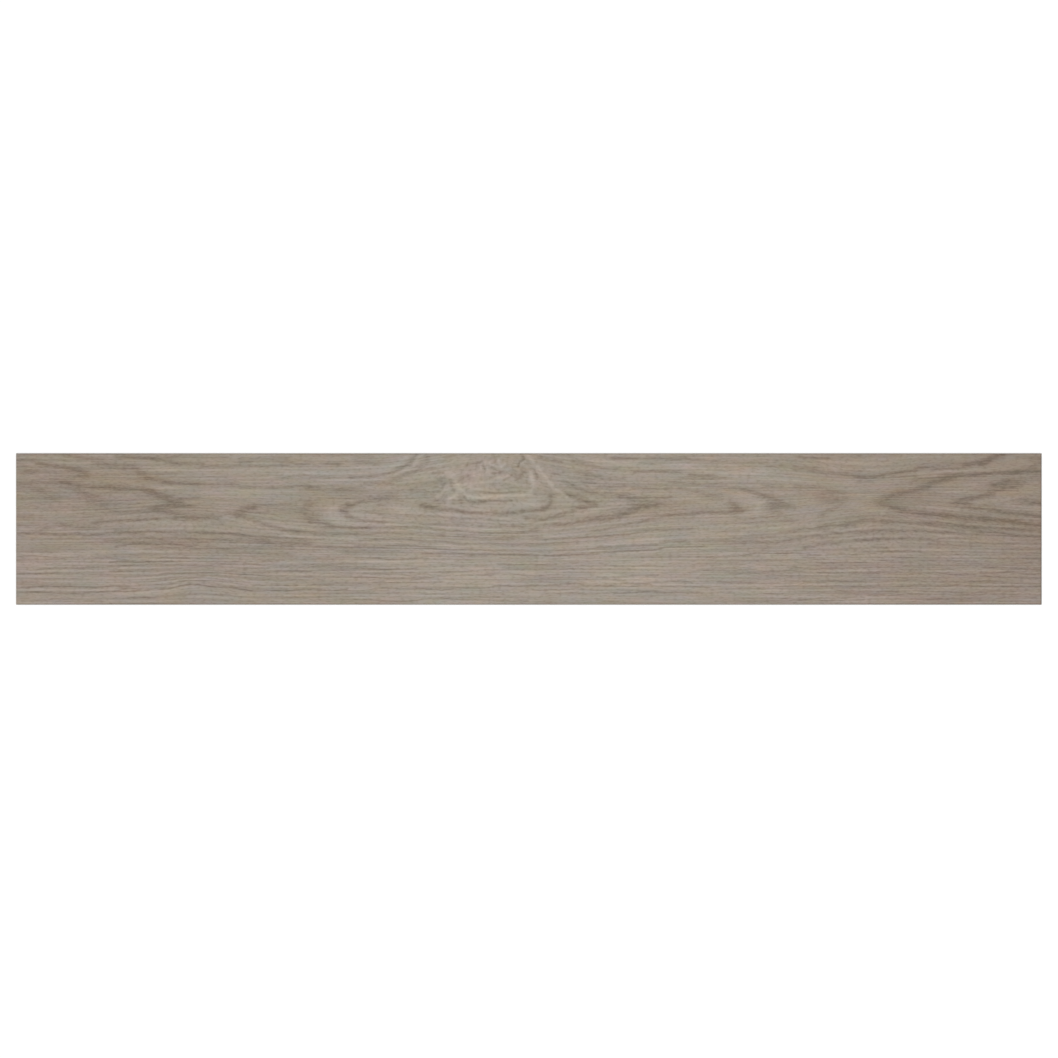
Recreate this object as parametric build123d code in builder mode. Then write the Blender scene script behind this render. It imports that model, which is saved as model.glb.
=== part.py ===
"""Vinyl floor plank: one glue-down length of oak-look vinyl flooring, lying face up.

The plank is pressed as a flat sheet, cut to a rectangle with square sides, and then
bevelled along the four edges of its wear face. It is one piece, so it is one solid.

Frame: +X along the plank, +Y across it, +Z up out of the wear face. The origin is the
middle of the back, the face that is stuck down to the floor.
"""

import os

from build123d import *

# Driving dimensions, in millimetres
plank_length = 1220.0
plank_width = 180.0
plank_thickness = 2.5

# The fine bevel along the wear face: how far it reaches in over the face, and how far
# it falls down the side. The fall stays within a 0.5 mm clear wear layer, so the
# printed wood runs on over the bevel.
bevel_width = 1.0
bevel_fall = 0.4

# The pressed sheet, cut square on all four sides
with BuildPart() as plank:
    with BuildSketch() as outline:
        Rectangle(plank_length, plank_width)
    extrude(amount=plank_thickness)

    # The bevel along the four edges of the wear face
    wear_face = plank.faces().sort_by(Axis.Z)[-1]
    chamfer(wear_face.edges(), length=bevel_width, length2=bevel_fall, reference=wear_face)

plank.part.label = "plank"

os.makedirs("parts", exist_ok=True)
export_step(plank.part, "parts/plank.step")

size = plank.part.bounding_box().size
print(f"plank: {size.X:g} x {size.Y:g} x {size.Z:g} mm, {plank.part.volume / 1000:.1f} cm3")
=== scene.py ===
# %% [markdown]
# # A vinyl floor plank
#
# One glue-down plank of vinyl flooring lies face up on a white floor and is seen from
# straight above. A real one is made in layers. A sheet of chalk-filled PVC carries a film
# printed with limed oak, a clear wear layer covers the film, and a steel plate presses the
# fine lines of the wood into the top. The sheet is then cut to size and its top edges are
# bevelled.
#
# The size and the bevel come from the CAD solid. This lesson adds what the solid leaves
# out: the print, the pressed lines, the cut edge and the back.

# %% Load the solid
import math

import bpy
import numpy as np
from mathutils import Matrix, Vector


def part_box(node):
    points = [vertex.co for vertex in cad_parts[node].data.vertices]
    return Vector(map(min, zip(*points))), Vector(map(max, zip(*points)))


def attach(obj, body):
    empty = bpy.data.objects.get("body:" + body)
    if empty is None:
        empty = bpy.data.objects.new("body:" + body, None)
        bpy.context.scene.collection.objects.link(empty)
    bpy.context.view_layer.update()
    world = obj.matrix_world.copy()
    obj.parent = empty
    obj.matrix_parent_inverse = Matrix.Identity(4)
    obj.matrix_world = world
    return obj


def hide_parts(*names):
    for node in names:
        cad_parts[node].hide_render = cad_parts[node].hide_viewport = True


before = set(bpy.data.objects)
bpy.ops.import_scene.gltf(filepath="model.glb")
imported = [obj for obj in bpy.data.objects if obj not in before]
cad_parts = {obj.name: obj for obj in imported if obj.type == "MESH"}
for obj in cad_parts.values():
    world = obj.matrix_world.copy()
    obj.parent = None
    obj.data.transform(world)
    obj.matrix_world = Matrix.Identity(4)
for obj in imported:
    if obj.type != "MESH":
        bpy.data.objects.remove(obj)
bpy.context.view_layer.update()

MM = 0.001
plank_low, plank_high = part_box("plank")
length, width, thickness = plank_high - plank_low
print(f"solid: {length / MM:.1f} x {width / MM:.1f} x {thickness / MM:.2f} mm")

# %% [markdown]
# ## The bevel of the solid
#
# The bevel isn't measured again by hand. The solid has corners at three heights: the back,
# the foot of the bevel and the wear face. Reading those corners gives the height of the
# foot and how far the bevel reaches in, so the dressed plank follows the solid if its
# bevel is ever changed.

# %% Read the bevel
SAME_LEVEL = 0.01 * MM
corners = np.array([v.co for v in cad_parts["plank"].data.vertices])
on_top = corners[:, 2] > plank_high.z - SAME_LEVEL
on_back = corners[:, 2] < plank_low.z + SAME_LEVEL
bevel_foot_z = corners[~on_top & ~on_back, 2].min()
bevel_reach = plank_high.x - corners[on_top, 0].max()
print(f"bevel: reaches in {bevel_reach / MM:.2f} mm, foot at {bevel_foot_z / MM:.2f} mm")

# %% [markdown]
# ## The photograph as a drawing board
#
# The growth rings are drawn over the photograph, so their points are in its pixels. The
# plank fills a known stretch of the picture, which gives the size of a pixel, and one
# function moves a point from the picture onto the plank. The picture's right is +X and its
# top is +Y.

# %% From the picture to the plank
PLANK_LEFT_PX, PLANK_RIGHT_PX = 16.05, 1041.65
PLANK_TOP_PX, PLANK_BOTTOM_PX = 453.3, 604.7
PICTURE_PX = 1058
px = length / (PLANK_RIGHT_PX - PLANK_LEFT_PX)
MIDDLE_PX = np.array([(PLANK_LEFT_PX + PLANK_RIGHT_PX) / 2, (PLANK_TOP_PX + PLANK_BOTTOM_PX) / 2])


def on_plank(points):
    """Pixels of the picture, as places on the plank in metres. A pixel stands for its middle."""
    return (np.array(points, float) + 0.5 - MIDDLE_PX) * (px, -px)


print(f"one pixel of the picture is {px / MM:.3f} mm of plank")

# %% [markdown]
# ## The growth rings of the print
#
# The film shows flat-sawn oak. The saw met each growth ring at a low angle, so the rings
# show as long tongues that point along the plank, with a small knot at the top edge that
# they flow around. Below the tongues the rings run on as nearly straight lines.
#
# Noise alone can't put a tongue or a knot in its place, so the marks that the eye finds
# first are drawn from given points, a few each. A mark has a depth of tone from 0 to 1, half
# a width in pixels, a warmth, which is above 0 for brown and below 0 for grey, and then its
# points.

# %% Dark marks of the left tongues
left_tongues = [
    (0.60, 1.1, 0.3, [(62, 454), (72, 456), (82, 457.5), (92, 458.5), (102, 459.5)]),
    (0.60, 1.8, 0.6, [(98, 464), (108, 464.5), (118, 465.5), (123, 467.5)]),
    (0.75, 1.6, 0.5, [(128, 466), (134, 468.5), (138, 471), (144, 474), (148, 477.5)]),
    (0.50, 1.2, 0.2, [(147, 478), (158, 480), (166, 481)]),
    (0.75, 1.3, 0.0, [(164, 481.5), (172, 482), (182, 482.5), (194, 483.5)]),
    (0.55, 1.1, -0.2, [(194, 483.5), (220, 484), (236, 484.5), (242, 486),
                       (270, 487), (300, 486), (316, 486.5)]),
    (0.70, 1.3, 0.2, [(118, 456), (128, 455.5), (145, 457.5), (155, 458.5),
                      (160, 460), (166, 461.5), (175, 463)]),
    (0.55, 1.1, 0.0, [(175, 463), (190, 462.5), (202, 462.5)]),
    (0.50, 1.2, 0.3, [(18, 459.5), (36, 459.5)]),
    (0.40, 2.0, 0.3, [(18, 463), (26, 466)]),
    (1.00, 1.5, 0.5, [(38, 463), (48, 464.5), (56, 465.5), (62, 466.5), (70, 468.5)]),
    (0.85, 2.2, 0.6, [(70, 468.5), (77, 469.5), (82, 471.5), (84, 474.5)]),
    (0.50, 1.8, -0.4, [(25, 471), (32, 471)]),
    (0.35, 2.5, 0.5, [(62, 477), (72, 478.5), (80, 478)]),
    (0.50, 1.3, 0.2, [(38, 479), (50, 479), (58, 480), (63, 482)]),
    (1.00, 1.4, 0.4, [(63, 481.5), (68, 483), (76, 484.5), (86, 485.5), (97, 486.5), (108, 486.5)]),
    (0.95, 1.3, 0.4, [(108, 487), (120, 488.5), (132, 489), (142, 489), (150, 490.5)]),
    (0.45, 0.9, 0.2, [(108, 485), (126, 485.5)]),
    (0.40, 1.0, 0.0, [(44, 482.5), (60, 482.5)]),
    (1.00, 2.2, 0.6, [(150, 490.5), (156, 494), (163, 497), (170, 500), (177, 501.5)]),
    (0.50, 1.2, 0.4, [(160, 496), (173, 495.5)]),
    (0.70, 1.1, 0.3, [(180, 498), (190, 497.5), (197, 497)]),
    (1.00, 1.5, 0.6, [(179, 502), (172, 503.5), (166, 505), (160, 506), (153, 507.5)]),
    (0.90, 1.0, 0.5, [(171, 506), (182, 506), (193, 506)]),
    (0.65, 1.6, 0.5, [(157, 509.5), (167, 511), (175, 513), (182, 514.5),
                      (192, 515.5), (205, 516), (218, 517)]),
    (0.45, 2.0, 0.5, [(176, 516.5), (196, 517.5)]),
    (0.75, 0.9, 0.2, [(171, 519), (186, 519)]),
    (0.35, 1.0, 0.3, [(104, 511), (130, 511), (160, 511)]),
    (0.75, 1.1, 0.3, [(95, 522.5), (101, 521), (110, 520), (125, 520), (140, 519.5), (157, 518.5)]),
    (0.55, 1.5, 0.6, [(62, 525), (70, 526), (80, 527), (95, 526.5)]),
    (0.35, 2.0, 0.3, [(18, 516), (38, 517)]),
    (0.45, 1.2, 0.2, [(46, 527), (62, 526)]),
    (0.55, 1.3, 0.0, [(18, 525), (30, 526), (38, 526.5), (46, 528)]),
    (0.75, 1.3, 0.1, [(18, 532.5), (30, 532.5), (42, 533)]),
    (0.65, 1.1, 0.1, [(42, 533.5), (70, 533), (88, 534), (105, 533),
                      (135, 532.5), (150, 531), (165, 532), (204, 533)]),
    (0.95, 1.0, 0.0, [(205, 532.5), (215, 533), (228, 533.5), (242, 534.5)]),
    (0.50, 1.0, 0.2, [(242, 534.5), (250, 535), (262, 536.5), (277, 537), (294, 538.5)]),
    (0.40, 2.0, 0.0, [(119, 529), (128, 531), (138, 533)]),
    (0.60, 1.2, 0.5, [(104, 539.5), (125, 539), (150, 538.5), (175, 539), (196, 539)]),
    (0.55, 1.1, 0.2, [(194, 540), (208, 539.5), (218, 539.5), (228, 541),
                      (242, 541.5), (256, 542), (270, 541.5)]),
    (0.40, 1.2, 0.2, [(202, 541), (230, 539.5), (262, 539)]),
    (0.75, 1.0, 0.0, [(116, 545.5), (130, 544), (150, 544), (166, 544), (186, 544.5), (194, 544.5)]),
    (0.55, 1.0, -0.1, [(144, 549), (158, 548.5), (172, 548.5), (186, 548), (206, 547.5), (226, 548)]),
    (0.50, 1.0, 0.0, [(226, 548), (244, 547), (255, 546.5), (270, 546), (292, 547)]),
    (0.55, 1.8, 0.3, [(39, 489), (44, 492)]),
    (0.40, 2.0, 0.4, [(52, 496), (55, 499)]),
    (0.50, 1.6, 0.3, [(66, 488), (76, 489.5), (84, 492), (88, 495), (97, 496)]),
    (0.50, 3.0, 0.3, [(86, 496), (94, 500), (104, 505)]),
    (0.45, 1.4, 0.2, [(17, 484), (28, 486), (38, 488)]),
    (0.35, 1.2, 0.2, [(17, 481.5), (36, 482)]),
    (0.25, 0.8, -0.2, [(102, 495.5), (125, 495.5), (148, 495)]),
    (0.30, 0.8, -0.2, [(108, 499.5), (130, 499.5), (152, 499.5)]),
    (0.25, 0.8, 0.0, [(100, 491.5), (122, 491.5)]),
    (0.25, 0.8, -0.2, [(104, 503.5), (140, 503)]),
    (0.35, 1.0, 0.0, [(165, 456), (185, 456.5), (205, 457), (226, 457)]),
    (0.40, 1.0, 0.0, [(240, 457), (262, 457.5), (286, 457)]),
    (0.45, 1.0, 0.1, [(240, 462), (251, 461.5)]),
    (0.55, 0.9, 0.0, [(275, 462), (286, 462), (296, 463), (306, 463)]),
    (0.70, 1.1, 0.0, [(324, 463.5), (338, 463.5)]),
    (0.45, 1.0, 0.0, [(200, 467), (206, 466), (215, 465), (225, 464.5),
                      (240, 465), (256, 465), (286, 464.5)]),
    (0.20, 0.8, -0.1, [(158, 473), (182, 472.5)]),
    (0.45, 1.1, -0.2, [(280, 477), (300, 475.5), (320, 476.5), (332, 476)]),
    (0.35, 0.9, 0.0, [(222, 481), (236, 481)]),
]
print(f"{len(left_tongues)} dark marks on the left tongues")

# %% Dark marks of the middle tongue, left of the knot
middle_left = [
    (0.40, 1.1, 0.5, [(252, 506), (260, 505), (275, 504.5), (290, 502.5)]),
    (0.85, 2.2, 0.4, [(252, 507), (246, 508.5), (241, 511), (238, 514)]),
    (0.40, 1.2, 0.2, [(228, 512), (236, 513)]),
    (0.40, 1.1, 0.0, [(250, 512.5), (264, 513)]),
    (0.55, 1.3, 0.1, [(238, 516.5), (250, 519.5), (258, 521.5), (266, 524), (278, 527.5)]),
    (0.75, 1.3, 0.0, [(284, 529.5), (291, 530), (298, 531.5)]),
    (0.55, 1.0, 0.0, [(297, 531.5), (306, 531.5), (315, 533), (326, 533), (342, 533.5), (358, 533)]),
    (0.65, 1.6, 0.6, [(258, 539.5), (270, 541), (285, 542.5), (308, 543)]),
    (0.60, 0.9, 0.1, [(298, 539.5), (315, 539), (327, 539), (345, 540.5), (362, 540), (376, 539.5)]),
    (0.40, 1.1, 0.2, [(318, 547), (342, 547), (357, 546)]),
    (0.50, 2.4, 0.6, [(310, 504), (304, 508), (303, 511), (307, 513.5), (313, 514)]),
    (0.35, 1.4, 0.5, [(305, 516.5), (316, 518)]),
    (0.75, 1.6, 0.4, [(311, 520.5), (320, 522), (327, 525)]),
    (0.90, 1.1, 0.2, [(329, 525.5), (345, 526.5), (358, 527), (367, 527)]),
    (0.60, 1.1, 0.1, [(367, 527), (385, 527), (404, 527), (416, 526.5),
                      (427, 527.5), (445, 529.5), (456, 530.5)]),
    (0.55, 1.1, 0.0, [(456, 530.5), (468, 531.5), (478, 532.5), (492, 533),
                      (506, 532), (522, 531), (538, 530)]),
    (0.40, 1.1, -0.2, [(300, 500), (318, 499), (336, 498.5), (350, 498),
                       (362, 496.5), (372, 496), (384, 495)]),
    (0.80, 1.6, 0.4, [(342, 508.5), (346, 508), (350, 505)]),
    (0.75, 1.4, -0.2, [(348, 505), (354, 503.5), (360, 501), (366, 500),
                       (374, 499), (382, 498), (391, 496.5)]),
    (0.45, 1.2, -0.3, [(391, 497.5), (405, 497.5), (420, 497), (432, 496)]),
    (0.80, 1.3, -0.3, [(343, 511), (346, 514), (350, 516.5), (354, 518.5),
                       (360, 519.5), (368, 520), (382, 521)]),
    (0.30, 0.9, -0.2, [(382, 521), (400, 521), (417, 521)]),
    (0.25, 1.4, 1.4, [(375, 508), (379, 509), (384, 509)]),
    (0.35, 1.4, 0.0, [(378, 503.5), (390, 503.5), (400, 502.5)]),
    (0.45, 1.2, 0.3, [(368, 511.5), (376, 513), (386, 514.5), (396, 515)]),
    (0.50, 0.9, 0.0, [(396, 515), (410, 515.5), (436, 516), (446, 517),
                      (456, 518), (486, 518), (497, 519)]),
    (0.30, 1.2, 0.2, [(422, 503), (436, 504)]),
    (1.00, 1.4, 0.3, [(423, 505.5), (426, 506.5), (431, 507.5), (437, 508.5), (447, 509)]),
    (0.95, 1.3, 0.3, [(447, 509), (455, 510), (464, 511), (482, 512), (508, 512.5), (522, 511.5)]),
    (0.30, 1.1, -0.1, [(424, 523), (446, 523.5), (462, 523)]),
    (0.60, 1.0, 0.0, [(358, 533), (376, 533), (388, 533), (406, 533), (422, 533.5), (440, 534.5)]),
    (0.65, 0.9, 0.0, [(440, 534.5), (450, 536), (464, 536.5)]),
    (0.50, 1.0, 0.0, [(464, 536.5), (476, 537), (490, 538.5), (500, 538), (512, 536)]),
    (0.60, 1.0, 0.0, [(376, 539.5), (396, 538.5), (410, 539), (426, 540.5),
                      (446, 541), (456, 542.5), (464, 543.5)]),
    (0.40, 0.9, 0.1, [(468, 543.5), (482, 544), (496, 543.5), (512, 544.5),
                      (530, 544), (546, 543.5), (576, 541)]),
    (0.60, 1.1, 0.1, [(357, 545), (370, 546), (390, 545.5), (420, 546),
                      (430, 547.5), (440, 548.5), (470, 548.5)]),
    (0.55, 1.1, -0.3, [(340, 488), (351, 488)]),
    (0.40, 2.0, 0.4, [(308, 488), (325, 488.5), (345, 489), (361, 488)]),
    (0.50, 1.0, 0.4, [(364, 483), (378, 483), (390, 483.5)]),
    (0.30, 1.0, -0.1, [(388, 491.5), (396, 490.5), (404, 490), (411, 489.5)]),
    (0.45, 1.1, 0.5, [(412, 488.5), (421, 488), (430, 488), (436, 486)]),
    (0.30, 1.0, 0.0, [(416, 491), (431, 491)]),
    (0.30, 1.8, 0.0, [(345, 551), (380, 550), (418, 549.5)]),
    (0.65, 1.1, -0.5, [(350, 476.5), (358, 476), (375, 475), (388, 473),
                       (394, 471), (400, 468), (407, 465)]),
    (0.70, 1.1, -0.5, [(399, 468), (407, 465), (411, 461), (414, 457), (417, 453)]),
    (0.60, 1.2, -0.4, [(394, 479), (402, 475), (410, 473), (416, 470), (420, 466), (424, 462), (427, 456)]),
    (0.50, 1.4, -0.2, [(420, 467.5), (431, 467.5)]),
    (0.45, 1.2, 0.0, [(356, 457), (371, 457.5)]),
    (0.40, 1.2, 0.0, [(358, 461), (376, 463)]),
]
print(f"{len(middle_left)} dark marks left of the knot")

# %% Dark marks of the middle tongue, right of the knot
middle_right = [
    (0.75, 1.2, 0.5, [(522, 511.5), (533, 511), (541, 509.5), (544, 507)]),
    (0.75, 1.4, 0.4, [(526, 518), (540, 518.5), (550, 517), (558, 514.5),
                      (566, 512), (574, 509.5), (582, 507)]),
    (0.85, 1.5, 0.2, [(582, 507.5), (589, 506), (594, 504), (589, 501.5),
                      (581, 499), (574, 496.5), (568, 494)]),
    (0.60, 1.3, -0.2, [(563, 481), (572, 485), (578, 488), (584, 490.5), (592, 492)]),
    (0.45, 1.2, 0.0, [(592, 492), (602, 492.5), (612, 491)]),
    (0.25, 1.6, 0.1, [(584, 504), (592, 504.5)]),
    (0.25, 1.6, 0.2, [(604, 510.5), (620, 509.5), (636, 509.5)]),
    (0.30, 1.6, 0.0, [(604, 497), (614, 495.5), (624, 492)]),
    (0.85, 1.4, 0.2, [(621, 496), (630, 497), (638, 497.5), (645, 497)]),
    (0.50, 1.3, 0.5, [(645, 497), (658, 497.5), (670, 497.5)]),
    (0.45, 1.4, 0.8, [(630, 502.5), (638, 503.5)]),
    (0.80, 1.8, 0.6, [(640, 505), (646, 505.5), (651, 504.5), (656, 503.5)]),
    (0.70, 1.6, 0.5, [(632, 509), (638, 507), (643, 505.5)]),
    (1.00, 1.8, 0.2, [(632, 510), (627, 512), (621, 514.5), (614, 516),
                      (606, 517.5), (598, 518.5), (590, 519.5)]),
    (0.75, 1.3, 0.1, [(590, 519.5), (579, 521), (572, 522), (563, 524), (555, 524)]),
    (0.60, 1.2, 0.0, [(555, 524), (545, 523.5), (535, 524.5), (516, 525), (500, 525)]),
    (0.45, 1.1, 0.2, [(518, 526), (530, 528), (544, 527.5)]),
    (0.40, 1.1, 0.1, [(478, 526), (498, 527)]),
    (0.35, 1.0, 0.0, [(490, 520), (508, 520.5), (525, 520)]),
    (0.40, 1.0, 0.0, [(600, 548.5), (630, 549), (655, 548)]),
    (0.90, 2.2, 0.6, [(733, 503.5), (735, 506), (738, 508.5), (740, 509)]),
    (0.75, 1.3, 0.7, [(739, 510.5), (730, 511.5), (718, 512), (700, 512),
                      (690, 513.5), (680, 514.5), (668, 515)]),
    (0.50, 1.4, 0.9, [(668, 515), (660, 516), (652, 517.5), (644, 520)]),
    (0.40, 1.2, 0.3, [(644, 520), (632, 523), (612, 526)]),
    (0.30, 1.5, 0.4, [(728, 502), (722, 499.5), (715, 497.5), (706, 496)]),
    (0.35, 1.4, 0.1, [(716, 495), (704, 492), (694, 489.5)]),
    (0.75, 1.0, 0.4, [(632, 488), (650, 488), (668, 488)]),
    (0.45, 1.3, 1.2, [(668, 488), (676, 488), (685, 488)]),
    (0.65, 1.0, 0.2, [(598, 486), (606, 486), (614, 485.5), (634, 486.5)]),
    (0.70, 1.0, 0.0, [(633, 471.5), (650, 471), (665, 471.5), (680, 472)]),
    (0.80, 1.2, 0.1, [(691, 474), (711, 474.5)]),
    (0.50, 1.0, 0.2, [(680, 477.5), (700, 478), (722, 477.5)]),
    (0.55, 1.0, 0.1, [(670, 481.5), (683, 482)]),
    (0.45, 1.0, -0.1, [(690, 483), (720, 483.5)]),
    (0.45, 1.0, -0.1, [(708, 486.5), (722, 487), (736, 487.5)]),
    (0.75, 1.4, -0.1, [(743, 489), (750, 491), (757, 493), (764, 495)]),
    (0.70, 1.7, 0.5, [(764, 495), (769, 496.5), (775, 499), (779, 501)]),
    (0.75, 2.1, 0.3, [(773, 503.5), (776, 505), (781, 505), (788, 505.5)]),
    (0.50, 2.2, 0.3, [(771, 507), (774, 511), (777, 514)]),
    (0.35, 1.4, 0.2, [(735, 517), (748, 518.5)]),
    (0.35, 1.3, 1.2, [(752, 517.5), (760, 516), (768, 515.5)]),
    (0.45, 1.6, 0.6, [(574, 460), (583, 463), (592, 466)]),
    (0.50, 1.0, 0.2, [(596, 467.5), (617, 468)]),
    (0.80, 1.0, 0.1, [(611, 458.5), (622, 458), (634, 458)]),
    (0.50, 0.9, 0.1, [(648, 457), (668, 457), (686, 457.5)]),
    (0.50, 0.9, 0.2, [(666, 459.5), (690, 459), (704, 459)]),
    (0.60, 1.0, 0.0, [(584, 475), (599, 475.5)]),
    (0.50, 1.0, 0.1, [(577, 471.5), (588, 472)]),
    (0.60, 0.9, 0.1, [(582, 481), (594, 482)]),
    (0.45, 1.0, 0.0, [(602, 478), (622, 479)]),
    (0.40, 1.0, 0.0, [(574, 478), (592, 478.5)]),
    (0.40, 1.0, 0.0, [(616, 494), (632, 494)]),
    (0.55, 1.0, 0.0, [(609, 535.5), (623, 534.5), (636, 532.5), (646, 530.5),
                      (656, 530), (668, 529), (692, 528.5)]),
    (0.45, 1.0, 0.0, [(498, 538), (512, 537), (526, 536), (536, 537)]),
    (0.45, 1.0, 0.0, [(696, 540), (712, 540.5), (728, 541)]),
    (0.25, 1.0, 0.0, [(752, 534), (768, 532.5), (784, 531), (798, 530)]),
    (0.45, 1.0, 0.5, [(592, 530), (607, 529)]),
    (0.60, 1.0, 0.0, [(533, 537), (545, 538), (560, 538), (576, 537), (592, 536), (607, 535)]),
    (0.45, 1.0, 0.0, [(598, 546.5), (616, 546), (632, 545), (650, 544), (662, 542.5)]),
    (0.70, 1.2, 0.2, [(663, 541.5), (675, 541.5), (687, 541.5)]),
    (0.40, 1.0, 0.0, [(712, 460), (736, 461), (762, 462)]),
    (0.45, 1.1, 0.1, [(764, 485), (782, 485.5)]),
    (0.35, 0.9, 0.0, [(640, 463), (664, 463.5)]),
]
print(f"{len(middle_right)} dark marks right of the knot")

# %% Dark marks of the right tongue
right_tongue = [
    (0.50, 1.5, 0.5, [(796, 486), (815, 487), (826, 489), (836, 491), (843, 492.5)]),
    (0.65, 2.6, 0.6, [(823, 496), (834, 498), (842, 499.5)]),
    (0.35, 1.5, 0.3, [(820, 500), (834, 501)]),
    (0.30, 1.2, 0.0, [(904, 491.5), (945, 492), (986, 491.5)]),
    (0.45, 1.4, 0.6, [(821, 516), (824, 511.5), (830, 509), (836, 506)]),
    (0.65, 1.0, 0.1, [(798, 457), (814, 457.5), (827, 458)]),
    (0.50, 1.0, 0.0, [(768, 466), (786, 465.5), (802, 466), (816, 467)]),
    (0.60, 1.2, 0.2, [(794, 468), (808, 469), (818, 470.5), (826, 472),
                      (836, 473), (846, 474), (858, 475.5)]),
    (0.85, 1.3, 0.4, [(858, 476), (866, 476.5), (876, 476), (884, 474),
                      (896, 472), (908, 471), (916, 469.5)]),
    (0.75, 1.3, 0.4, [(918, 466.5), (926, 467.5), (934, 468.5), (942, 468.5),
                      (952, 467.5), (962, 467), (968, 465)]),
    (0.55, 2.0, 0.7, [(966, 464.5), (974, 463), (982, 460)]),
    (1.00, 1.7, 0.3, [(981, 463.5), (986, 460.5), (991, 458), (996, 455.5), (1003, 453.5)]),
    (0.45, 1.1, -0.1, [(848, 470), (862, 470.5)]),
    (0.40, 1.0, 0.3, [(884, 476.5), (905, 476), (914, 476)]),
    (0.70, 2.6, 0.4, [(884, 500), (886, 497.5), (892, 495), (900, 493)]),
    (0.75, 1.4, 0.3, [(900, 493), (907, 491.5), (915, 489.5), (925, 488)]),
    (0.70, 1.8, 0.2, [(921, 486.5), (930, 484), (936, 480.5), (941, 478), (947, 476)]),
    (0.45, 1.4, -0.5, [(914, 480), (923, 478.5), (932, 477.5), (941, 476)]),
    (0.45, 1.5, 0.4, [(934, 481), (943, 480), (952, 478)]),
    (1.00, 1.6, 0.3, [(947, 475.5), (960, 474.5), (975, 474), (990, 473.5), (1000, 472.5), (1016, 472)]),
    (0.95, 1.5, 0.3, [(1016, 472), (1025, 471), (1041, 470.5)]),
    (0.50, 1.6, 0.2, [(1031, 467), (1036, 464), (1041, 463)]),
    (0.35, 3.0, 0.0, [(1036, 460), (1041, 459)]),
    (0.35, 1.6, 0.3, [(1008, 479), (1024, 477), (1041, 475.5)]),
    (0.80, 2.5, 0.2, [(994, 485.5), (1000, 485), (1006, 485), (1013, 486)]),
    (0.55, 1.6, 0.9, [(1003, 482), (1011, 481), (1020, 481.5)]),
    (0.60, 1.2, -0.2, [(990, 492.5), (996, 490.5), (1003, 488.5)]),
    (0.85, 1.6, -0.5, [(988, 494), (980, 496), (972, 498)]),
    (0.80, 1.4, -0.4, [(957, 499.5), (961, 498.5), (966, 498)]),
    (0.80, 1.5, -0.4, [(953, 503), (960, 502.5), (967, 502.5)]),
    (0.70, 1.4, 0.4, [(879, 503), (885, 505), (892, 506.5)]),
    (0.95, 1.5, 0.4, [(891, 506.5), (897, 507), (902, 509.5)]),
    (0.90, 1.9, 0.4, [(902, 509), (910, 511), (920, 512.5), (932, 514), (944, 515)]),
    (0.90, 1.8, 0.3, [(944, 515), (958, 516.5), (970, 517.5), (984, 518.5)]),
    (1.00, 1.9, 0.7, [(984, 518.5), (996, 520), (1008, 521), (1018, 522.5), (1030, 523.5), (1041, 524.5)]),
    (0.90, 1.4, 0.3, [(818, 527.5), (828, 526), (838, 525), (847, 523.5)]),
    (0.95, 1.7, 0.3, [(847, 523.5), (857, 522), (867, 520.5), (876, 520.5), (881, 520.5)]),
    (0.70, 1.4, 0.3, [(889, 521), (896, 521.5), (904, 522), (916, 523),
                      (940, 523.5), (952, 524), (962, 524.5)]),
    (0.75, 1.2, 0.4, [(962, 524.5), (971, 526), (981, 527), (996, 528),
                      (1010, 528.5), (1026, 530), (1041, 531)]),
    (0.55, 1.2, 0.1, [(848, 531), (866, 530.5), (884, 530), (904, 531),
                      (926, 531), (946, 531), (964, 531.5)]),
    (0.75, 1.3, 0.4, [(976, 532), (996, 533), (1010, 534), (1024, 535), (1041, 536.5)]),
    (0.60, 1.0, -0.1, [(856, 538.5), (880, 538), (900, 538), (915, 537.5),
                       (930, 538), (956, 537.5), (977, 538)]),
    (0.50, 1.0, 0.0, [(846, 541), (860, 540.5), (877, 539.5)]),
    (0.60, 1.2, 0.0, [(805, 546.5), (813, 545.5), (822, 543.5), (840, 543)]),
    (0.70, 1.1, 0.0, [(733, 542), (748, 541.5), (770, 541), (786, 539.5),
                      (798, 538), (808, 536.5), (820, 535.5)]),
    (0.25, 1.0, 0.1, [(733, 537.5), (750, 536.5), (764, 535.5), (774, 536)]),
    (0.25, 1.0, 0.0, [(720, 531.5), (737, 530)]),
    (0.45, 1.0, 0.0, [(792, 529.5), (810, 528.5)]),
    (0.50, 1.2, -0.2, [(826, 531), (838, 532.5)]),
    (0.40, 1.0, 0.2, [(784, 521), (797, 520)]),
    (0.40, 1.0, 0.2, [(756, 525.5), (772, 524)]),
    (0.75, 1.2, 0.6, [(990, 510.5), (1000, 511), (1010, 512), (1022, 514), (1038, 515.5)]),
    (0.55, 1.2, 0.6, [(964, 507), (980, 507.5), (998, 509)]),
    (0.45, 2.4, 0.3, [(1020, 500), (1032, 501)]),
    (0.80, 1.8, 0.1, [(1035, 502), (1041, 502)]),
    (0.35, 1.0, 0.0, [(928, 543), (960, 543.5), (985, 543), (1012, 544)]),
    (0.45, 1.0, 0.0, [(874, 546), (886, 546.5)]),
    (0.50, 1.0, 0.2, [(858, 481), (872, 481)]),
]
print(f"{len(right_tongue)} dark marks on the right tongue")

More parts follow.
